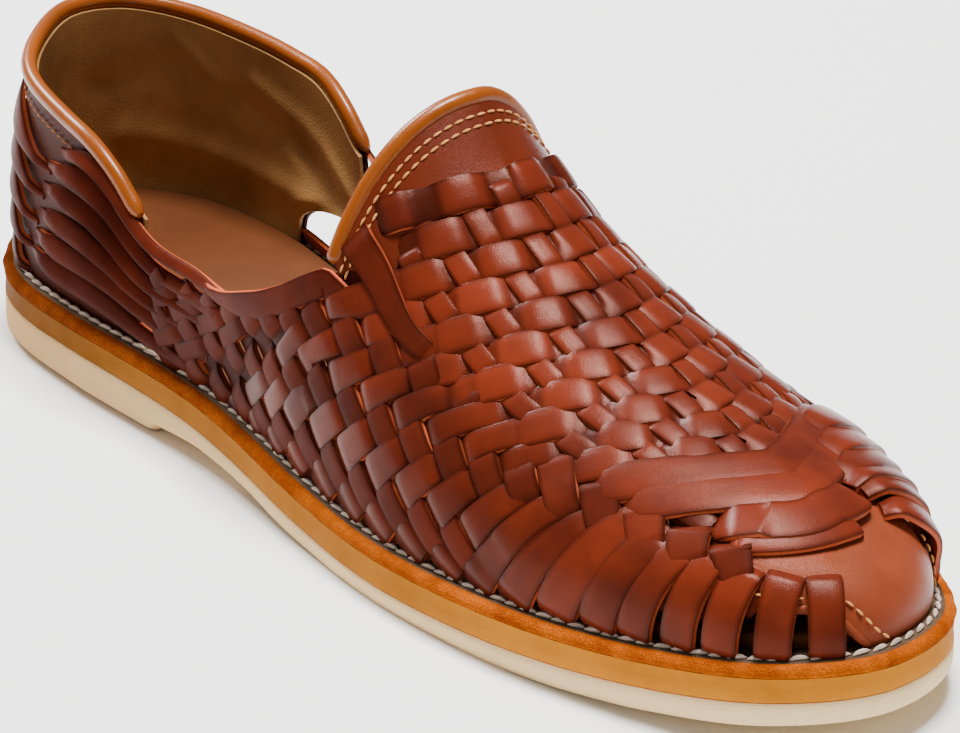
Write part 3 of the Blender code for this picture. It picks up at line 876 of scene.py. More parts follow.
def space_evenly(points: Array, normals: Array, step: float) -> tuple[Array, Array]:
    """Points and normals at even steps along a path."""
    runs = np.concatenate([[0.0], np.cumsum(np.linalg.norm(np.diff(points, axis=0), axis=1))])
    places = np.arange(step / 2, runs[-1], step)
    def read(values: Array) -> Array:
        return np.stack([np.interp(places, runs, values[:, k]) for k in range(3)], 1)
    return read(points), unit(read(normals))


@dataclass
class SoleUnit:
    """Outsole, midsole with its rough rim, insole and the welt's stitches."""

    last: Last
    undercut: float = 0.0026
    edge_height: float = 0.0030
    edge_shares: tuple = (0.55, 0.22, 0.06, 0.0)
    clearance: float = 0.00015
    rim_height: float = 0.0024
    stitch_inset: float = 0.0034
    insole_thick: float = 0.0030

    def build(self) -> None:
        """Build and place the sole's pieces."""
        self.build_outsole()
        self.build_midsole()
        self.build_rim()
        self.build_insole()
        self.build_welt()

    def build_outsole(self) -> None:
        """The crepe wedge: rounded lower edge, straight side."""
        last = self.last
        def under(share: Array) -> Array:
            return self.undercut * (1 - 0.69 * ease(0.30, 0.50, share))
        rings = [last.outline_ring(under, last.underside)]
        for k, share in enumerate(self.edge_shares):
            lift = self.edge_height * (k + 1) / len(self.edge_shares)
            rings.append(last.outline_ring(lambda s, f=share: under(s) * f,
                                           lambda x, z=lift: last.underside(x) + z))
        rings.append(last.outline_ring(0.0, lambda x: last.outsole_top(x) - 0.0007))
        rings.append(last.outline_ring(0.0004, lambda x: last.outsole_top(x) - self.clearance))
        add_piece("crepe_outsole", stack(rings), CREPE, ("outsole",))

    def build_midsole(self) -> None:
        """The waxed leather layer, slightly hollow at the side."""
        last = self.last
        def level(share: float) -> Callable[[Array], Array]:
            def height(x: Array) -> Array:
                low = last.outsole_top(x) + self.clearance
                high = last.midsole_top(x) - self.rim_height
                return low + share * (high - low)
            return height
        insets = ((0.0003, 0.0), (0.0, 0.06), (0.0002, 0.5), (0.0, 1.0))
        rings = [last.outline_ring(inset, level(share)) for inset, share in insets]
        rings.append(last.outline_ring(0.0006, level(1.0)))
        add_piece("leather_midsole", stack(rings), MIDSOLE_LEATHER,
                  ("midsole",))

    def build_rim(self) -> None:
        """The rough rim: a wavy rounded edge and the flat ledge inside it."""
        last = self.last
        def wavy(inset: float, drop: float, sway: float) -> Array:
            ring = last.outline_ring(inset, lambda x: last.midsole_top(x) - drop)
            count = len(ring)
            turn = 2 * np.pi * np.arange(count) / count
            wave = np.sin(61 * turn) + 0.7 * np.sin(97 * turn + 1.0) + 0.5 * np.sin(149 * turn)
            out = unit(ring * (0.45, 1, 0))
            return ring + out * (sway * wave)[:, None]
        low = self.rim_height
        rings = [
            wavy(0.0006, low - 0.0001, 0.0), wavy(-0.0001, low - 0.0002, 0.00008),
            wavy(-0.0003, 0.55 * low, 0.00012), wavy(0.0, 0.25 * low, 0.00012),
            wavy(0.0007, 0.0, 0.0001), wavy(0.0016, -0.0001, 0.0),
        ]
        add_piece("welt_rim", stack(rings), RIM_LEATHER)
        rings = [last.outline_ring(inset, lambda x, z=rise: last.midsole_top(x) + z)
                 for inset, rise in ((0.0019, 0.0), (0.0021, 0.0002), (0.0070, 0.0002))]
        add_piece("welt_ledge", stack(rings), SHADED_LEDGE_LEATHER)

    def build_insole(self) -> None:
        """The footbed with a softly rounded edge."""
        last = self.last
        def inset(extra: float) -> Callable[[Array], Array]:
            def depth(share: Array) -> Array:
                return last.ledge + 0.0022 + extra + 0.0018 * ease(0.80, 0.90, share)
            return depth
        base = last.gap
        levels = ((0.0, 0.0), (0.0, 0.6), (0.0004, 0.9), (0.0012, 1.0))
        rings = [
            last.outline_ring(inset(extra), lambda x, s=share: last.midsole_top(x) + base
                              + s * self.insole_thick)
            for extra, share in levels
        ]
        add_piece("leather_insole", stack(rings), INSOLE_LEATHER, ("insole",))

    def build_welt(self) -> None:
        """Lock stitches lying on the ledge round the upper."""
        last = self.last
        ring = last.outline_ring(self.stitch_inset,
                                 lambda x: last.midsole_top(x) + 0.0004, 300)
        up = np.tile((0.0, 0.0, 1.0), (len(ring), 1))
        add_piece("welt_stitches", seam(ring, up, 0.0, WELT_STITCH), WELT_THREAD)


def sheet_solid(points: Array, normals: Array, top: float, bottom: float) -> MeshParts:
    """A closed wall between two offsets of a grid of points.

    Args:
        points: Rows x columns x 3.
        normals: Outward directions there.
        top: Offset of the outer face.
        bottom: Offset of the inner face.

    Returns:
        Vertices, faces and no attributes.
    """
    rows, columns = points.shape[:2]
    outer = (points + normals * top).reshape(-1, 3)
    inner = (points + normals * bottom).reshape(-1, 3)
    at = np.arange(rows * columns).reshape(rows, columns)
    quads = np.stack([at[:-1, :-1], at[:-1, 1:], at[1:, 1:], at[1:, :-1]], -1).reshape(-1, 4)
    a, b, c = (outer[quads[:, k]] for k in (0, 1, 2))
    facing = np.einsum("ij,ij->i", np.cross(b - a, c - a), normals.reshape(-1, 3)[quads[:, 0]])
    rim = np.concatenate([at[0], at[1:, -1], at[-1, -2::-1], at[-2:0:-1, 0]])
    after = np.roll(rim, -1)
    if np.median(facing) < 0:
        quads, rim, after = quads[:, ::-1], after, rim
    count = rows * columns
    sides = np.stack([after, rim, rim + count, after + count], 1)
    faces = np.vstack([quads, quads[:, ::-1] + count, sides]).tolist()
    return np.vstack([outer, inner]), [tuple(face) for face in faces], {}


def over_spine(outer: Array, inner: Array, axis: int = 0) -> Array:
    """Join both sides' values, from the outer side's foot over the spine to the inner side's."""
    return np.concatenate([outer, np.delete(np.flip(inner, axis), 0, axis)], axis)


@dataclass
class UpperWeave:
    """The woven upper: cross strips that run on down the sides, side strips and long strips.

    Everything is laid in two numbers: place along the feather line, 0 at the throat, 1 at the
    last section and below 0 behind the throat, and row, 0 at the feather line and 1 on the spine.
    A cross strip's number at any point and a side strip's or long strip's number there give the
    crossings, and the height over the surface is a rounded wave of the crossing. Lengths are in
    metres, angles in degrees.
    """

    last: Last
    cross_strips: int = 13
    first_place: float = 0.135
    place_step: float = 0.0692
    edge_row: float = 0.50
    long_strips: int = 8
    long_reach: float = 0.034
    cross_width: float = 0.0083
    fill: float = 1.0
    long_width: float = 0.0052
    thick: float = 0.0013
    wave: float = 0.00072
    wave_steep: float = 1.7
    side_wave: float = 0.00070
    twill_steep: float = 2.2
    twill_shift: float = 0.25
    loose_from: int = 11
    loose_lift: float = 1.15
    loose_extra: float = 0.0016
    rear_strips: int = 9
    plate_place: float = 0.128
    flange: float = 0.085
    side_fall: float = 38.0
    side_pitch: float = 0.0066
    toe_pitch: float = 0.0058
    narrow_from: float = 0.45
    narrow_to: float = 0.62
    foot_row: float = 0.004
    side_row: float = 0.44
    shank_place: float = -0.60
    tuck: float = 0.0010
    slit_strips: int = 2
    slit_depth: float = 0.0016
    throat_x: float = -0.0015
    fewest_points: int = 12
    raw_shares: tuple[float, ...] = (0.15, 0.35, 0.9)
    first_number: int = -14
    seed: int = 11
    # Place where a cross strip leaves the top, place where it reaches the feather line
    feet: tuple = (
        (-0.55, -1.08), (-0.10, -0.56), (0.00, -0.45), (0.09, -0.34), (0.20, -0.21),
        (0.32, -0.06), (0.45, 0.13), (0.58, 0.32), (0.70, 0.51), (0.785, 0.62), (0.86, 0.72),
        (0.95, 0.87), (1.00, 0.96),
    )
    # Strips round the toe on the outer side: place at the feather line, place at the top
    toe_feet: tuple = (
        (0.835, 0.915), (0.940, 0.975), (1.022, 1.035), (1.105, 1.112), (1.182, 1.188),
        (1.277, 1.279), (1.372, 1.370),
    )
    # The same on the inner side, from the toe's opening backwards, with the row of the top
    inner_feet: tuple = ((1.165, 1.22, 0.62), (1.085, 1.14, 0.72), (1.010, 1.07, 0.78),
                         (0.925, 1.00, 0.80), (0.830, 0.930, 0.76), (0.745, 0.85, 0.70))

    # Strips in front of the toe's middle: place and row of each end, highest row, width, lift
    toe_bands: tuple = (
        (1.00, 0.55, 1.90, 0.72, 0.90, 0.0096, 0.0010),
        (1.08, 0.53, 1.66, 0.74, 0.76, 0.0084, 0.0004),
    )

    def __post_init__(self) -> None:
        """Measure the columns' lengths and number the strips."""
        self.girths = np.linalg.norm(np.diff(self.last.vamp, axis=1), axis=2).sum(1)
        self.middle = (self.long_strips - 1) / 2
        self.field = self.long_strips + 0.35
        self.numbers = np.arange(self.first_number, self.cross_strips + len(self.toe_feet))
        self.cross_rows = np.linspace(self.foot_row, 1.0, 150)

    def start(self, number: float) -> float:
        """Place of a cross strip on the spine."""
        return self.first_place + self.place_step * number

    def bend(self, number: float) -> float:
        """How fast a cross strip sweeps back from the spine."""
        return 0.85 - 0.45 * self.start(number)

    def on_top(self, number: float, row: Array) -> Array:
        """Place of a cross strip on the top: a parabola with its head on the spine."""
        return self.start(number) - self.bend(number) * (1 - row) ** 2

    def surface(self, name: SideName, place: Array, row: Array) -> tuple[Array, Array]:
        """Points and normals of one side at places and rows."""
        place, row = np.broadcast_arrays(np.asarray(place, float), np.asarray(row, float))
        last = self.last
        on = place if name is SideName.OUTER else 3 - place
        front, front_normal = last.on_vamp(np.clip(on, 0.0, 3.0), row)
        along = last.feather_start + place * (last.feather_end - last.feather_start)
        rear, rear_normal = last.on_wall(name, np.minimum(along, last.feather_start - 1e-6),
                                         row / last.side_shares[0])
        behind = (place < 0)[..., None]
        return (np.where(behind, rear, front), np.where(behind, rear_normal, front_normal))

    def cross_place(self, number: float, row: Array) -> Array:
        """Place of a cross strip at a row: a parabola on top, then straight to its foot."""
        row = np.asarray(row, float)
        if number >= self.cross_strips:
            at = int(min(number - self.cross_strips, len(self.toe_feet) - 1))
            foot, top = self.toe_feet[at]
            return foot + (top - foot) * row / self.side_row
        leave = self.on_top(number, self.edge_row)
        table = np.array(self.feet)
        foot = np.interp(leave, table[:, 0], table[:, 1])
        side = foot + (leave - foot) * row / self.edge_row
        return np.where(row >= self.edge_row, self.on_top(number, row), side)

    def side_number(self, points: Array) -> Array:
        """Number of the side strip through points: straight lines in the side view.

        With d = x sin(fall) + z cos(fall), the number is d / pitch, and the pitch narrows
        towards the toe.
        """
        fall = math.radians(self.side_fall)
        run = (points[..., 0] * math.sin(fall) + points[..., 2] * math.cos(fall)) / self.last.ball
        knots = np.array([-1.6, self.narrow_from, self.narrow_to, 2.4])
        wide = self.last.ball / self.side_pitch
        tight = self.last.ball / self.toe_pitch
        steps = np.array([wide, 0.5 * (wide + tight), tight]) * np.diff(knots)
        return np.interp(run, knots, np.concatenate([[0.0], np.cumsum(steps)]))

    def side_lines(self, name: SideName, row: Array) -> tuple[Array, Array]:
        """Places from the shank to the toe and the side strips' numbers there at each row."""
        places = np.linspace(-0.66, 1.26, 190)
        points, _ = self.surface(name, places[:, None], row[None, :])
        return places, np.maximum.accumulate(self.side_number(points), axis=0)

    def number_of(self, line: Callable[[float, Array], Array], numbers: Array, place: Array,
                  row: Array) -> Array:
        """Number of the strip, with its fraction, that passes through places and rows."""
        lines = np.array([line(number, row) for number in numbers])
        return np.array([np.interp(p, lines[:, k], numbers) for k, p in enumerate(place)])

    def side_lift(self, cross: Array, side: Array, place: Array, row: Array) -> Array:
        """Height share of the side strips: over one cross strip, then under two.

        With v = cross - side the wave is tanh(steep (cos(2 pi v / 3) - shift)). In front they
        are over the cross strips only beside the top's edge.
        """
        turn = np.cos(2 * np.pi * (cross - side) / 3)
        twill = np.tanh(self.twill_steep * (turn - self.twill_shift))
        front = 2 * ease(0.33, 0.41, row) - 1
        blend = ease(0.50, 0.78, place)
        return twill + blend * (front - twill)

    def shade_where_under(self, lift: Array, wave: float) -> Array:
        """Painted shade along a strip: darker where the strip dives under its neighbours."""
        return 0.52 + 0.48 * ease(-0.6 * wave, 0.5 * wave, lift)

    def girth(self, place: Array) -> Array:
        """Length from the feather line to the spine over the surface."""
        return np.interp(place, self.last.vamp_places, self.girths)

    def reach(self, place: Array) -> Array:
        """Half of the long strips' field, measured over the surface."""
        return np.minimum(self.long_reach, 0.5 * self.girth(place))

    def build(self) -> None:
        """Lay every family on both sides."""
        rng = np.random.default_rng(self.seed)
        parts = [self.cross_strip(number, rng) for number in range(self.cross_strips)]
        parts += [self.toe_band(*band, rng) for band in self.toe_bands]
        add_strips("cross_strips", parts, STRIP_LEATHER, ("upper",))
        parts = [self.long_strip(number, rng) for number in range(self.long_strips)]
        add_strips("long_strips", parts, STRIP_LEATHER)
        for name in SideName:
            parts = []
            for number in range(*self.side_range(name)):
                parts += self.side_strip(name, number, rng)
            for number in range(-self.rear_strips, 0):
                parts += self.rear_cross_strip(name, number, rng)
            parts.append(self.leg(name, rng))
            parts.append(self.edge_strip(name, rng))
            add_strips(f"{name.name.lower()}_side_strips", parts, SHADED_SIDE_LEATHER)
        parts = [self.toe_strip(SideName.OUTER, foot, top, rng) for foot, top in self.toe_feet]
        parts += [self.toe_strip(SideName.INNER, foot, top, rng, reach)
                  for foot, top, reach in self.inner_feet]
        add_strips("toe_strips", parts, STRIP_LEATHER)
        self.build_plate()

    def side_range(self, name: SideName) -> tuple[int, int]:
        """First and last number of the side strips on one side."""
        _, numbers = self.side_lines(name, np.array([0.01, 0.25, 0.50]))
        return math.floor(numbers.min()) + 1, math.ceil(numbers.max())

    def spacing(self, points: Array, before: Array, after: Array) -> Array:
        """Distance between neighbouring strips, square to the strip that runs through points."""
        step = 0.5 * (after - before)
        tangent = unit(np.gradient(points, axis=0))
        shift = np.einsum("ij,ij->i", step, tangent)[:, None] * tangent
        return np.linalg.norm(step - shift, axis=1)

    def cross_width_at(self, name: SideName, number: float, row: Array, points: Array) -> Array:
        """Width that a cross strip needs at each row to lie close beside its neighbours."""
        before, _ = self.surface(name, self.cross_place(number - 1, row), row)
        after, _ = self.surface(name, self.cross_place(number + 1, row), row)
        return np.clip(self.fill * self.spacing(points, before, after), 0.0045, 0.0120)

    def cross_half(self, name: SideName, number: float) -> tuple[Array, Array, Array, Array]:
        """Points, normals, lift and width of a cross strip from the feather line to the spine."""
        row = self.cross_rows
        place = self.cross_place(number, row)
        points, normals = self.surface(name, place, row)
        side = -self.side_wave * self.side_lift(number, self.side_number(points), place, row)
        over = (1 - row) * self.girth(place) / self.reach(place) * name.value
        top = square_wave(over * self.field / 2 + self.middle + number, 2, self.wave_steep)
        margin = ease(0.92, 1.04, np.abs(over))
        top = top * (1 - margin) + 0.5 * margin
        wide = self.cross_width
        if number >= self.loose_from:
            top = np.full_like(top, self.loose_lift)
            wide += self.loose_extra
        blend = ease(self.edge_row - 0.04, self.edge_row + 0.02, row)
        lift = side + blend * (self.wave * top - side)
        lift = lift - self.tuck * ease(0.06, 0.0, row)
        narrow = self.cross_width_at(name, number, row, points)
        width = narrow + (wide - narrow) * ease(0.44, 0.58, row)
        return points, normals, lift, width

    def cross_strip(self, number: int, rng: np.random.Generator) -> MeshParts:
        """One cross strip, from feather line to feather line over the spine."""
        joined = [over_spine(outer, inner) for outer, inner
                  in zip(self.cross_half(SideName.OUTER, number),
                         self.cross_half(SideName.INNER, number))]
        # painted shade: the cross strips are darker down the sides than on the top
        shade = 0.74 + 0.26 * ease(0.40, 0.60, over_spine(self.cross_rows, self.cross_rows))
        keep = self.kept_span(number, joined[0])
        if number < self.slit_strips:
            steps = np.arange(keep.stop - keep.start)
            joined[2][keep] -= self.slit_depth * ease(10, 0, np.minimum(steps, steps[::-1]))
        points, normals, lift, width = (item[keep] for item in joined)
        # random brightness times the painted shade of the sides and of the dives
        tone = rng.uniform(0.86, 1.16) * shade[keep] * self.shade_where_under(lift, self.wave)
        raw = rng.choice(self.raw_shares) if number < self.loose_from else self.raw_shares[-1]
        return ribbon(points + normals * lift[:, None], normals, width, self.thick, tone, 0.0, raw)

    def kept_span(self, number: int, points: Array) -> slice:
        """The part of a cross strip that shows: under the edge, or between the plate's slits."""
        if number < self.slit_strips:
            row = self.cross_rows
            slit = (row > 0.60) & (self.cross_place(number, row) > 0.035)
            first = int(np.argmax(slit))
            return slice(first, len(points) - first)
        edge = self.last.rear[SideName.OUTER][:, -1] - self.last.shift
        height = np.interp(points[:, 0], edge[:, 0], edge[:, 2])
        inside = (points[:, 0] > self.throat_x) | (points[:, 2] < height)
        return slice(int(np.argmax(inside)), len(points) - int(np.argmax(inside[::-1])))

    def rear_top(self, place: Array) -> Array:
        """Highest row of the strips behind the throat, lower where the straps come in."""
        return np.interp(place, (-0.50, -0.38, -0.25), (0.385, 0.43, 0.466))

    def rear_cross_strip(self, name: SideName, number: int,
                         rng: np.random.Generator) -> list[MeshParts]:
        """A strip like the cross strips that starts from the edge behind the throat."""
        row = np.linspace(self.foot_row, 0.468, 90)
        place = self.cross_place(number, row)
        keep = (place > self.shank_place) & (row < self.rear_top(place))
        if keep.sum() < self.fewest_points:
            return []
        row, place = row[keep], place[keep]
        points, normals = self.surface(name, place, row)
        lift = -self.side_wave * self.side_lift(number, self.side_number(points), place, row)
        points = points + normals * lift[:, None]
        width = self.cross_width_at(name, number, row, points)
        # random brightness times painted shade where the strip dives under
        tone = rng.uniform(0.80, 1.05) * self.shade_where_under(lift, self.side_wave)
        return [ribbon(points, normals, width, self.thick, tone)]

    def side_strip(self, name: SideName, number: int,
                   rng: np.random.Generator) -> list[MeshParts]:
        """One strip running down and forwards from the top's edge over and under the others."""
        row = np.linspace(0.59, 0.006, 170)
        places, numbers = self.side_lines(name, row)
        place, before, after = (
            np.array([np.interp(wanted, numbers[:, k], places) for k in range(len(row))])
            for wanted in (number, number - 1, number + 1))
        lowest = np.interp(place, (0.55, 0.8), (0.0, 0.20))
        keep = (place > self.shank_place) & (place < 1.24) & (row > lowest)
        keep &= (place > 0.01) | (row < self.rear_top(place))
        if keep.sum() < self.fewest_points:
            return []
        row, place = row[keep], place[keep]
        points, normals = self.surface(name, place, row)
        beside = [self.surface(name, other[keep], row)[0] for other in (before, after)]
        width = np.clip(self.fill * self.spacing(points, *beside), 0.0040, 0.0105)
        cross = self.number_of(self.cross_place, self.numbers, place, row)
        lift = self.side_wave * self.side_lift(cross, number, place, row)
        tucked = ease(self.edge_row - 0.01, self.edge_row + 0.05, row)
        lift = lift - 3.2 * self.side_wave * tucked
        # random brightness times painted shade where the strip dives under
        tone = rng.uniform(0.80, 1.12) * self.shade_where_under(lift, self.side_wave)
        # painted light: the side strips grow brighter towards the toe
        tone = tone * np.interp(place, (0.35, 0.85), (1.0, 1.30))
        return [ribbon(points + normals * lift[:, None], normals, width, self.thick, tone, 0.0,
                       rng.choice(self.raw_shares))]

    def lay(self, name: SideName, place: Array, row: Array, lift: Array, width: Array | float,
            tone: Array | float, roll: float = 0.0, raw: float = 0.45) -> MeshParts:
        """Lay a strip through places and rows of one side, lifted off its surface."""
        points, normals = self.surface(name, place, row)
        return ribbon(points + normals * lift[:, None], normals, width, self.thick, tone, roll, raw)

    def toe_strip(self, name: SideName, foot: float, top: float, rng: np.random.Generator,
                  reach: float = 0.469) -> MeshParts:
        """One upright strip round the toe, tucked in at the feather line and at its top."""
        t = np.linspace(0.0, 1.0, 60)
        row = self.foot_row + (reach - self.foot_row) * t
        points, normals = self.surface(name, foot + (top - foot) * t, row)
        lift = 0.0007 * np.sin(np.pi * np.clip(t * 1.1, 0, 1)) ** 0.5
        lift = lift - self.tuck * ease(0.10, 0.0, t) - 0.0012 * ease(0.86, 1.0, t)
        over = name is SideName.INNER
        lift = lift + (0.0017 * ease(0.25, 0.55, t) - self.tuck * ease(0.9, 1.0, t)) * over
        points = points + normals * lift[:, None]
        width = np.interp(foot, (0.83, 0.95, 1.05, 1.4), (0.0100, 0.0088, 0.0080, 0.0074))
        width = width * (1.0 + 0.05 * t) * rng.uniform(0.98, 1.02)
        width = width * (1 - 0.45 * ease(0.72, 1.0, t) * over)
        return ribbon(points, normals, width, self.thick * 1.15, rng.uniform(0.88, 1.12),
                      rng.uniform(-0.06, 0.06) + 0.12 * over, 0.8 if over else 0.45)

    def toe_band(self, start: float, low: float, end: float, high: float, peak: float,
                 width: float, lift: float, rng: np.random.Generator) -> MeshParts:
        """A strip that curves in front of the toe's middle, over the tops of the toe strips."""
        t = np.linspace(0.0, 1.0, 120)
        place = start + (end - start) * t
        row = low + (high - low) * t + (peak - 0.5 * (low + high)) * np.sin(np.pi * t) ** 0.8
        ends = ease(0.07, 0.0, t) + ease(0.88, 1.0, t)
        return self.lay(SideName.OUTER, place, row, lift - (lift + 0.0020) * ends,
                        width * (1 - 0.55 * ends), rng.uniform(0.88, 1.1), 0.0, 0.8)

    def long_strip(self, number: int, rng: np.random.Generator) -> MeshParts:
        """One strip along the top, cut out of the tongue plate, over and under."""
        place = np.linspace(self.plate_place - 0.03, 1.0, 240)
        over = (number - self.middle) * 2 / self.field
        row = 1 - np.abs(over) * self.reach(place) / self.girth(place)
        name = SideName.OUTER if over < 0 else SideName.INNER
        numbers = np.arange(self.first_number, self.cross_strips + 2)
        crossing = self.number_of(self.on_top, numbers, place, row)
        lift = -0.8 * self.wave * square_wave(crossing + number, 2, self.wave_steep) - 0.00018
        plate = ease(self.plate_place + 0.012, self.plate_place - 0.004, place)
        lift = lift + plate * (-0.0012 - lift)
        lift = lift - 0.0006 * ease(self.loose_from - 1.4, self.loose_from - 0.6, crossing)
        # random brightness times painted shade where the strip dives under
        tone = rng.uniform(0.82, 1.08) * self.shade_where_under(lift, self.wave)
        return self.lay(name, place, row, lift, self.long_width, tone)

    def edge_strip(self, name: SideName, rng: np.random.Generator) -> MeshParts:
        """The strip along the edge from the shank to the throat, over the ends of the weave."""
        t = np.linspace(0.0, 1.0, 80)
        place = -0.43 + 0.475 * t
        row = self.last.side_shares[0] * (0.945 - 0.02 * np.sin(np.pi * t))
        lift = 0.0010 - 0.0018 * ease(0.12, 0.0, t) - 0.0009 * ease(0.86, 1.0, t)
        width = 0.0012 + 0.0050 * ease(0.0, 0.45, t)
        return self.lay(name, place, row, lift, width, rng.uniform(0.9, 1.0), -0.12 * name.value,
                        0.95)

    def leg(self, name: SideName, rng: np.random.Generator) -> MeshParts:
        """The plate's narrow leg that runs forwards along the top's edge."""
        t = np.linspace(0.0, 1.0, 70)
        place = 0.02 + 0.30 * t
        row = 0.585 - 0.055 * t + 0.010 * np.sin(7 * t)
        lift = 0.0010 - 0.0034 * ease(0.84, 1.0, t) - 0.0012 * ease(0.10, 0.0, t)
        return self.lay(name, place, row, lift, 0.0080 - 0.0040 * t, rng.uniform(0.80, 0.95))

    def build_plate(self) -> None:
        """The tongue plate: one piece of leather from the throat's edge to the first strips."""
        row = np.linspace(0.50, 1.0, 60)
        front = self.plate_place + self.flange - (0.10 + self.flange) * ease(0.66, 0.50, row)
        share = np.linspace(0.0, 1.0, 26)
        outer, inner = (self.surface(name, share[:, None] * front[None, :], row[None, :])
                        for name in SideName)
        points, normals = (over_spine(a, b, 1) for a, b in zip(outer, inner))
        drop = 0.0022 * ease(self.plate_place - 0.004, self.plate_place + 0.012,
                             share[:, None] * over_spine(front, front)[None, :])
        parts = sheet_solid(points - normals * drop[..., None], normals, 0.0004, -0.0010)
        add_piece("tongue_plate", parts, PLATE_LEATHER)


@dataclass
class Counter:
    """The heel's leather wall, its lining and the straps threaded through it."""

    last: Last
    front: float = 0.268
    wall: float = 0.0016
    strap_thick: float = 0.0014
    strap_end: float = 0.405
    strap_stagger: float = 0.012
    strap_tip: float = 0.0018
    strap_widths: tuple[float, float] = (0.0030, 0.0060)
    heel_straps: int = 5
    heel_start: float = 0.16
    heel_step: float = 0.165
    seed: int = 8
    # Share of length and height of each strap's slit, its height under the collar's end and at
    # the weave
    straps: tuple = (
        (0.163, 0.83, 0.925, 0.93), (0.147, 0.70, 0.775, 0.77), (0.136, 0.57, 0.62, 0.60),
        (0.128, 0.43, 0.46, 0.43), (0.124, 0.31, 0.30, 0.27), (0.116, 0.18, 0.14, 0.11),
    )

    # Creases of the lining in millimetres: distance from the heel's middle (inner side above 0)
    # and height of both ends, width, height of the ridge (a trough below 0)
    creases: tuple = (
        (12.0, 17.0, 80.0, 15.0, 3.6, 1.1), (46.0, 33.0, 82.0, 22.0, 3.0, -0.9),
        (54.0, 40.0, 84.0, 31.0, 3.0, 0.9), (64.0, 26.0, 84.0, 12.0, 2.6, 0.8),
        (6.0, 30.0, 28.0, 38.0, 4.5, -0.8), (30.0, 44.0, 42.0, 36.0, 2.6, 0.6),
        (-20.0, 20.0, -72.0, 16.0, 3.6, 0.9), (-40.0, 34.0, -70.0, 26.0, 3.2, -0.7),
    )

    def heel_grid(self, columns: int = 90, rows: int = 30,
                  cut: float = 0.0) -> tuple[Array, Array]:
        """Points and normals of the wall from the outer front edge round the heel.

        Args:
            columns: Columns of each side.
            rows: Rows from the feather line to the topline.
            cut: How far the inner side's lower front corner is cut back, as a share of length.

        Returns:
            Points and normals, columns x rows.
        """
        spread = np.linspace(0.0, 1.0, columns) ** 1.5
        height = np.linspace(0.0, 1.0, rows)
        grids = []
        for name in SideName:
            front = np.full(rows, self.front)
            if name is SideName.INNER:
                front = front - cut * ease(0.50, 0.15, height)
            along = spread[:, None] * front[None, :]
            grids.append(self.last.on_wall(name, along, height[None, :]))
        points = np.concatenate([grids[0][0][::-1], grids[1][0][1:]])
        normals = np.concatenate([grids[0][1][::-1], grids[1][1][1:]])
        middle = columns - 1
        normals[middle] = unit(normals[middle - 1] + normals[middle + 1])
        return points, normals

    def build(self) -> None:
        """Build the wall, the lining and the straps of both sides."""
        points, normals = self.heel_grid(cut=0.075)
        add_piece("heel_counter", sheet_solid(points, normals, 0.0, -0.5 * self.wall),
                  SHADED_COUNTER_LEATHER)
        inner = points - normals * (0.0006 - self.folds(*points.shape[:2]))[..., None]
        add_piece("heel_lining", sheet_solid(inner, normals, -0.5 * self.wall, -self.wall),
                  LINING_LEATHER)
        rng = np.random.default_rng(self.seed)
        parts = []
        for name in SideName:
            parts += [self.strap(name, k, rng) for k in range(len(self.straps))]
        add_strips("shank_straps", parts, SHADED_SIDE_LEATHER)
        parts = [self.heel_strap(k, rng) for k in range(self.heel_straps)]
        add_strips("heel_straps", parts, SHADED_SIDE_LEATHER)

    def folds(self, columns: int, rows: int) -> Array:
        """Outward shift of the lining by its creases, sum of height exp(-(distance / width)^2).

        Args:
            columns: Columns of the wall's grid, from the outer front edge round the heel.
            rows: Rows from the feather line to the topline.

        Returns:
            Shift of each point in metres, below 0 on a ridge that stands inwards.
        """
        across, up = np.meshgrid(np.linspace(-86.0, 86.0, columns), np.linspace(0.0, 50.0, rows),
                                 indexing="ij")
        shift = np.zeros((columns, rows))
        for start_x, start_y, end_x, end_y, width, height in self.creases:
            run = np.array([end_x - start_x, end_y - start_y])
            share = ((across - start_x) * run[0] + (up - start_y) * run[1]) / (run @ run)
            share = np.clip(share, 0.0, 1.0)
            away = np.hypot(across - start_x - share * run[0], up - start_y - share * run[1])
            shift -= height * MM * np.exp(-(away / width) ** 2)
        return shift * ease(0.0, 8.0, up) * ease(50.0, 42.0, up)

    def strap(self, name: SideName, number: int, rng: np.random.Generator) -> MeshParts:
        """A strap from its slit in the counter along the shank into the side weave.

        It leaves the slit as a point, widens, and leans its upper edge outwards.
        """
        start, low, middle, end = self.straps[number]
        t = np.linspace(0.0, 1.0, 110)
        along = start + (self.strap_end - self.strap_stagger * number - start) * t
        height = np.interp(along, (start, start + 0.05, 0.30, 0.41), (low, middle, middle, end))
        height = np.convolve(np.pad(height, 8, "edge"), np.ones(17) / 17, "valid")
        height = height + 0.012 * np.sin(5 * t + 1.3 * number)
        if name is SideName.INNER and number >= 4:
            height = height + (0.05, -0.10)[number - 4] * ease(0.0, 0.2, t) * ease(1.0, 0.8, t)
        points, normals = self.last.on_wall(name, along, np.clip(height, 0.03, 0.97))
        lift = 0.0013 * ease(0.0, 0.09, t) - 0.0010
        lift = lift + 0.0004 * np.sin(2 * np.pi * t + 1.7 * number) - 0.0012 * ease(0.92, 1.0, t)
        room = self.last.wall_height(name, along) * (0.122 if number else 0.10)
        full = np.clip(room, *self.strap_widths)
        width = self.strap_tip + (full - self.strap_tip) * ease(0.0, 0.20, t)
        roll = 0.50 * ease(0.0, 0.15, t) * ease(1.0, 0.75, t) + rng.uniform(-0.05, 0.10)
        points = points + normals * lift[:, None]
        return ribbon(points, normals, width, self.strap_thick, rng.uniform(0.72, 1.0),
                      roll * name.value, 0.95)

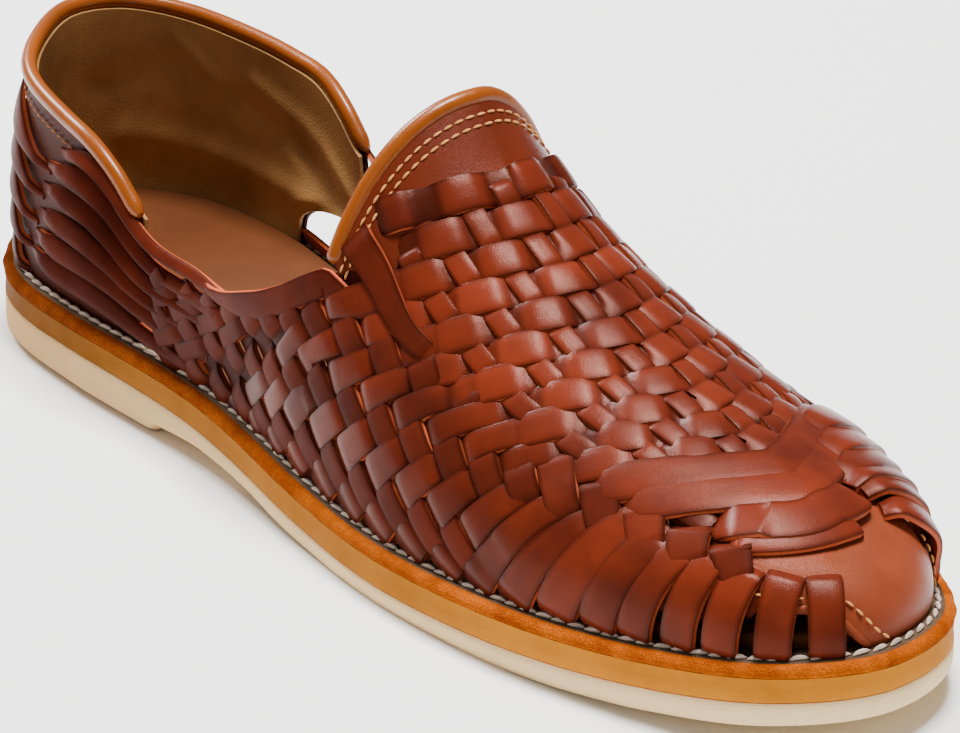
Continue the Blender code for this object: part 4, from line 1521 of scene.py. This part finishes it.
    def heel_strap(self, number: int, rng: np.random.Generator) -> MeshParts:
        """A strap round the heel's back, going in through a slanted slit on each side."""
        t = np.linspace(-1.0, 1.0, 140)
        share = self.heel_start + self.heel_step * number
        reach = 0.102 + 0.011 * number
        along = reach * np.abs(t) ** 1.5
        height = share + 0.06 - 0.21 * np.abs(t) ** 1.6
        outer, outer_normal = self.last.on_wall(SideName.OUTER, along, height)
        inner, inner_normal = self.last.on_wall(SideName.INNER, along, height)
        first = (t < 0)[:, None]
        points = np.where(first, outer, inner)
        normals = unit(np.where(first, outer_normal, inner_normal))
        lift = -0.0002 + 0.0009 * ease(0.25, 0.6, np.abs(t))
        lift = lift - 0.0018 * ease(0.90, 1.0, np.abs(t))
        points = points + normals * lift[:, None]
        width = 0.0070 - 0.0054 * ease(0.62, 1.0, np.abs(t))
        return ribbon(points, normals, width, self.strap_thick, rng.uniform(0.8, 1.05), 0.16)


def tube(points: Array, outward: Array, radius: float) -> MeshParts:
    """A round cord of fourteen sides along a path, narrowed at its closed ends."""
    tangent = unit(np.gradient(points, axis=0))
    across = unit(np.cross(tangent, outward))
    up = np.cross(across, tangent)
    turn = np.linspace(0.0, 2 * np.pi, 14, endpoint=False)
    size = np.full(len(points), radius)
    size[[0, -1]] *= 0.5
    size[[1, -2]] *= 0.85
    rings = points[:, None] + size[:, None, None] * (
        across[:, None] * np.cos(turn)[:, None] * 0.95 + up[:, None] * np.sin(turn)[:, None])
    vertices, faces = loft(rings, True)
    return vertices, faces, {}


@dataclass
class Bindings:
    """The tan bindings of collar and throat, and the throat's two rows of stitches."""

    last: Last
    front: float = 0.268
    collar_radius: float = 0.0019
    throat_radius: float = 0.0020

    def build(self) -> None:
        """Lay both bindings and the seams beside them."""
        points, normals = Counter(self.last, self.front).heel_grid(100, 12)
        rim = points[:, -1]
        up = unit(rim - points[:, -3])
        add_piece("collar_piping", tube(rim + up * 0.0012, up, self.collar_radius),
                  BINDING_LEATHER, ("collar_binding",))
        parts = seam(rim - up * 0.0042, normals[:, -2], 0.0003, COLLAR_STITCH)
        add_piece("collar_seam", parts, DARK_THREAD)
        weave = UpperWeave(self.last)
        edge, normal = self.across(weave, 0.0)
        inside, _ = self.across(weave, 0.02)
        back = unit(edge - inside)
        add_piece("throat_piping", tube(edge + back * 0.0010 - normal * 0.0004, back,
                                        self.throat_radius),
                  BINDING_LEATHER, ("throat_binding",))
        for number, place in enumerate((0.022, 0.038)):
            parts = seam(*self.across(weave, place), 0.0005, THROAT_STITCH)
            add_piece(f"throat_seam_{number + 1}", parts, UPPER_THREAD)

    def across(self, weave: UpperWeave, place: float) -> tuple[Array, Array]:
        """Points and normals over the throat at one place, from side to side."""
        row = np.linspace(self.last.side_shares[0] + 0.008, 1.0, 80)
        outer, inner = (weave.surface(name, place, row) for name in SideName)
        return over_spine(outer[0], inner[0]), over_spine(outer[1], inner[1])


@dataclass
class ToeCap:
    """The smooth cap under the toe's strips, with a folded lip and a seam beside it."""

    last: Last
    low: float = 1.10
    high: float = 1.95
    top_row: float = 0.74
    lip_end: float = 1.52
    lip_radius: float = 0.0011

    def lip_row(self, place: Array) -> Array:
        """Row of the cap's lower edge: high behind the strips, down to the ledge in front."""
        return 0.28 - 0.276 * ease(1.36, 1.48, place) + 0.20 * ease(1.80, 1.93, place)

    def build(self) -> None:
        """Build the cap, its lip and its seam."""
        place = np.linspace(self.low, self.high, 110)
        share = np.linspace(0.0, 1.0, 44)
        foot = self.lip_row(place)[:, None]
        row = foot + (self.top_row - foot) * share[None, :]
        points, normals = self.last.on_vamp(place[:, None], row)
        swell = 0.0008 * np.sin(np.pi * np.clip(share * 1.1, 0, 1))[None, :, None]
        points = points + normals * swell
        parts = sheet_solid(points, normals, -0.0004, -0.0020)
        add_piece("smooth_toe_cap", parts, CAP_LEATHER, ("toe_cap",))
        edge = points[:, 0] - normals[:, 0] * self.lip_radius
        keep = self.lip_row(place) > 0.012
        near = place < self.lip_end
        parts = [tube(edge[mask], normals[:, 0][mask], self.lip_radius)
                 for mask in (near & keep, ~near & keep)]
        add_piece("cap_lip", join_parts(parts), CAP_LEATHER)
        near_place = place[place < 1.50]
        near_path = self.last.on_vamp(near_place, self.lip_row(near_place - 0.03) + 0.05)
        far_row = np.linspace(0.02, 0.52, 40)
        far_path = self.last.on_vamp(1.775 + 0.03 * far_row, far_row)
        parts = [seam(*near_path, 0.0005, CAP_STITCH), seam(*far_path, 0.0007, CAP_STITCH)]
        add_piece("cap_seam", join_parts(parts), UPPER_THREAD)


@dataclass
class Studio:
    """Pale floor, soft lights and the camera at the photograph's angle."""

    camera_place: tuple[float, float, float] = (1.09245, -0.79938, 0.6558)
    azimuth: float = 53.607
    elevation: float = 24.851
    roll: float = -0.18
    focal_pixels: float = 7035.341
    frame_width: int = 960
    sensor: float = 36.0
    shift: tuple[float, float] = (-0.00066, -0.00336)

    def build(self) -> None:
        """Add floor, lights, world and camera."""
        self.build_floor()
        self.build_light("overhead", (0.0, 0.15, 1.5), 0.45, 58.0)
        self.build_light("heel_side", (-1.25, -0.05, 1.15), 0.5, 40.0)
        self.build_light("front_fill", (1.2, -1.3, 0.9), 0.9, 3.0)
        world = bpy.data.worlds.new("studio")
        world.use_nodes = True
        world.node_tree.nodes["Background"].inputs["Color"].default_value = (1, 1, 1, 1)
        world.node_tree.nodes["Background"].inputs["Strength"].default_value = 0.22
        bpy.context.scene.world = world
        self.build_camera()

    def build_floor(self) -> None:
        """A large pale plane at the floor's height."""
        mesh = bpy.data.meshes.new("floor")
        half = 6.0
        mesh.from_pydata([(-half, -half, 0), (half, -half, 0), (half, half, 0),
                          (-half, half, 0)], [], [(0, 1, 2, 3)])
        material = bpy.data.materials.new("pale_floor")
        material.use_nodes = True
        shader = material.node_tree.nodes["Principled BSDF"]
        shader.inputs["Base Color"].default_value = linear("F8F8F7")
        shader.inputs["Roughness"].default_value = 0.9
        mesh.materials.append(material)
        floor = bpy.data.objects.new("floor", mesh)
        bpy.context.collection.objects.link(floor)

    def build_light(self, name: str, place: tuple[float, float, float], size: float,
                    power: float) -> None:
        """A square soft light that looks at the shoe."""
        data = bpy.data.lights.new(name, "AREA")
        data.size = size
        data.energy = power
        light = bpy.data.objects.new(name, data)
        light.location = place
        light.rotation_mode = "QUATERNION"
        light.rotation_quaternion = (Vector((0, 0, 0.04)) - Vector(place)).to_track_quat("-Z", "Y")
        bpy.context.collection.objects.link(light)

    def build_camera(self) -> None:
        """The camera, with its axes from azimuth, elevation and roll."""
        a, e, r = (math.radians(v) for v in (self.azimuth, self.elevation, self.roll))
        back = Vector((math.sin(a) * math.cos(e), -math.cos(a) * math.cos(e), math.sin(e)))
        right = Vector((math.cos(a), math.sin(a), 0.0))
        up = back.cross(right)
        turned = math.cos(r) * right + math.sin(r) * up
        raised = -math.sin(r) * right + math.cos(r) * up
        axes = Matrix((turned, raised, back)).transposed()
        data = bpy.data.cameras.new("camera")
        data.sensor_width = self.sensor
        data.lens = self.focal_pixels * self.sensor / self.frame_width
        data.shift_x, data.shift_y = self.shift
        data.clip_start, data.clip_end = 0.05, 20.0
        camera = bpy.data.objects.new("camera", data)
        camera.rotation_mode = "QUATERNION"
        camera.rotation_quaternion = axes.to_quaternion()
        camera.location = self.camera_place
        bpy.context.collection.objects.link(camera)
        bpy.context.scene.camera = camera


def main() -> None:
    """Build the studio and the shoe's pieces in order."""
    logging.basicConfig(level=logging.INFO, format="%(message)s")
    Studio().build()
    last = Last()
    SoleUnit(last).build()
    Counter(last).build()
    UpperWeave(last).build()
    ToeCap(last).build()
    Bindings(last).build()


if __name__ == "__main__":
    main()
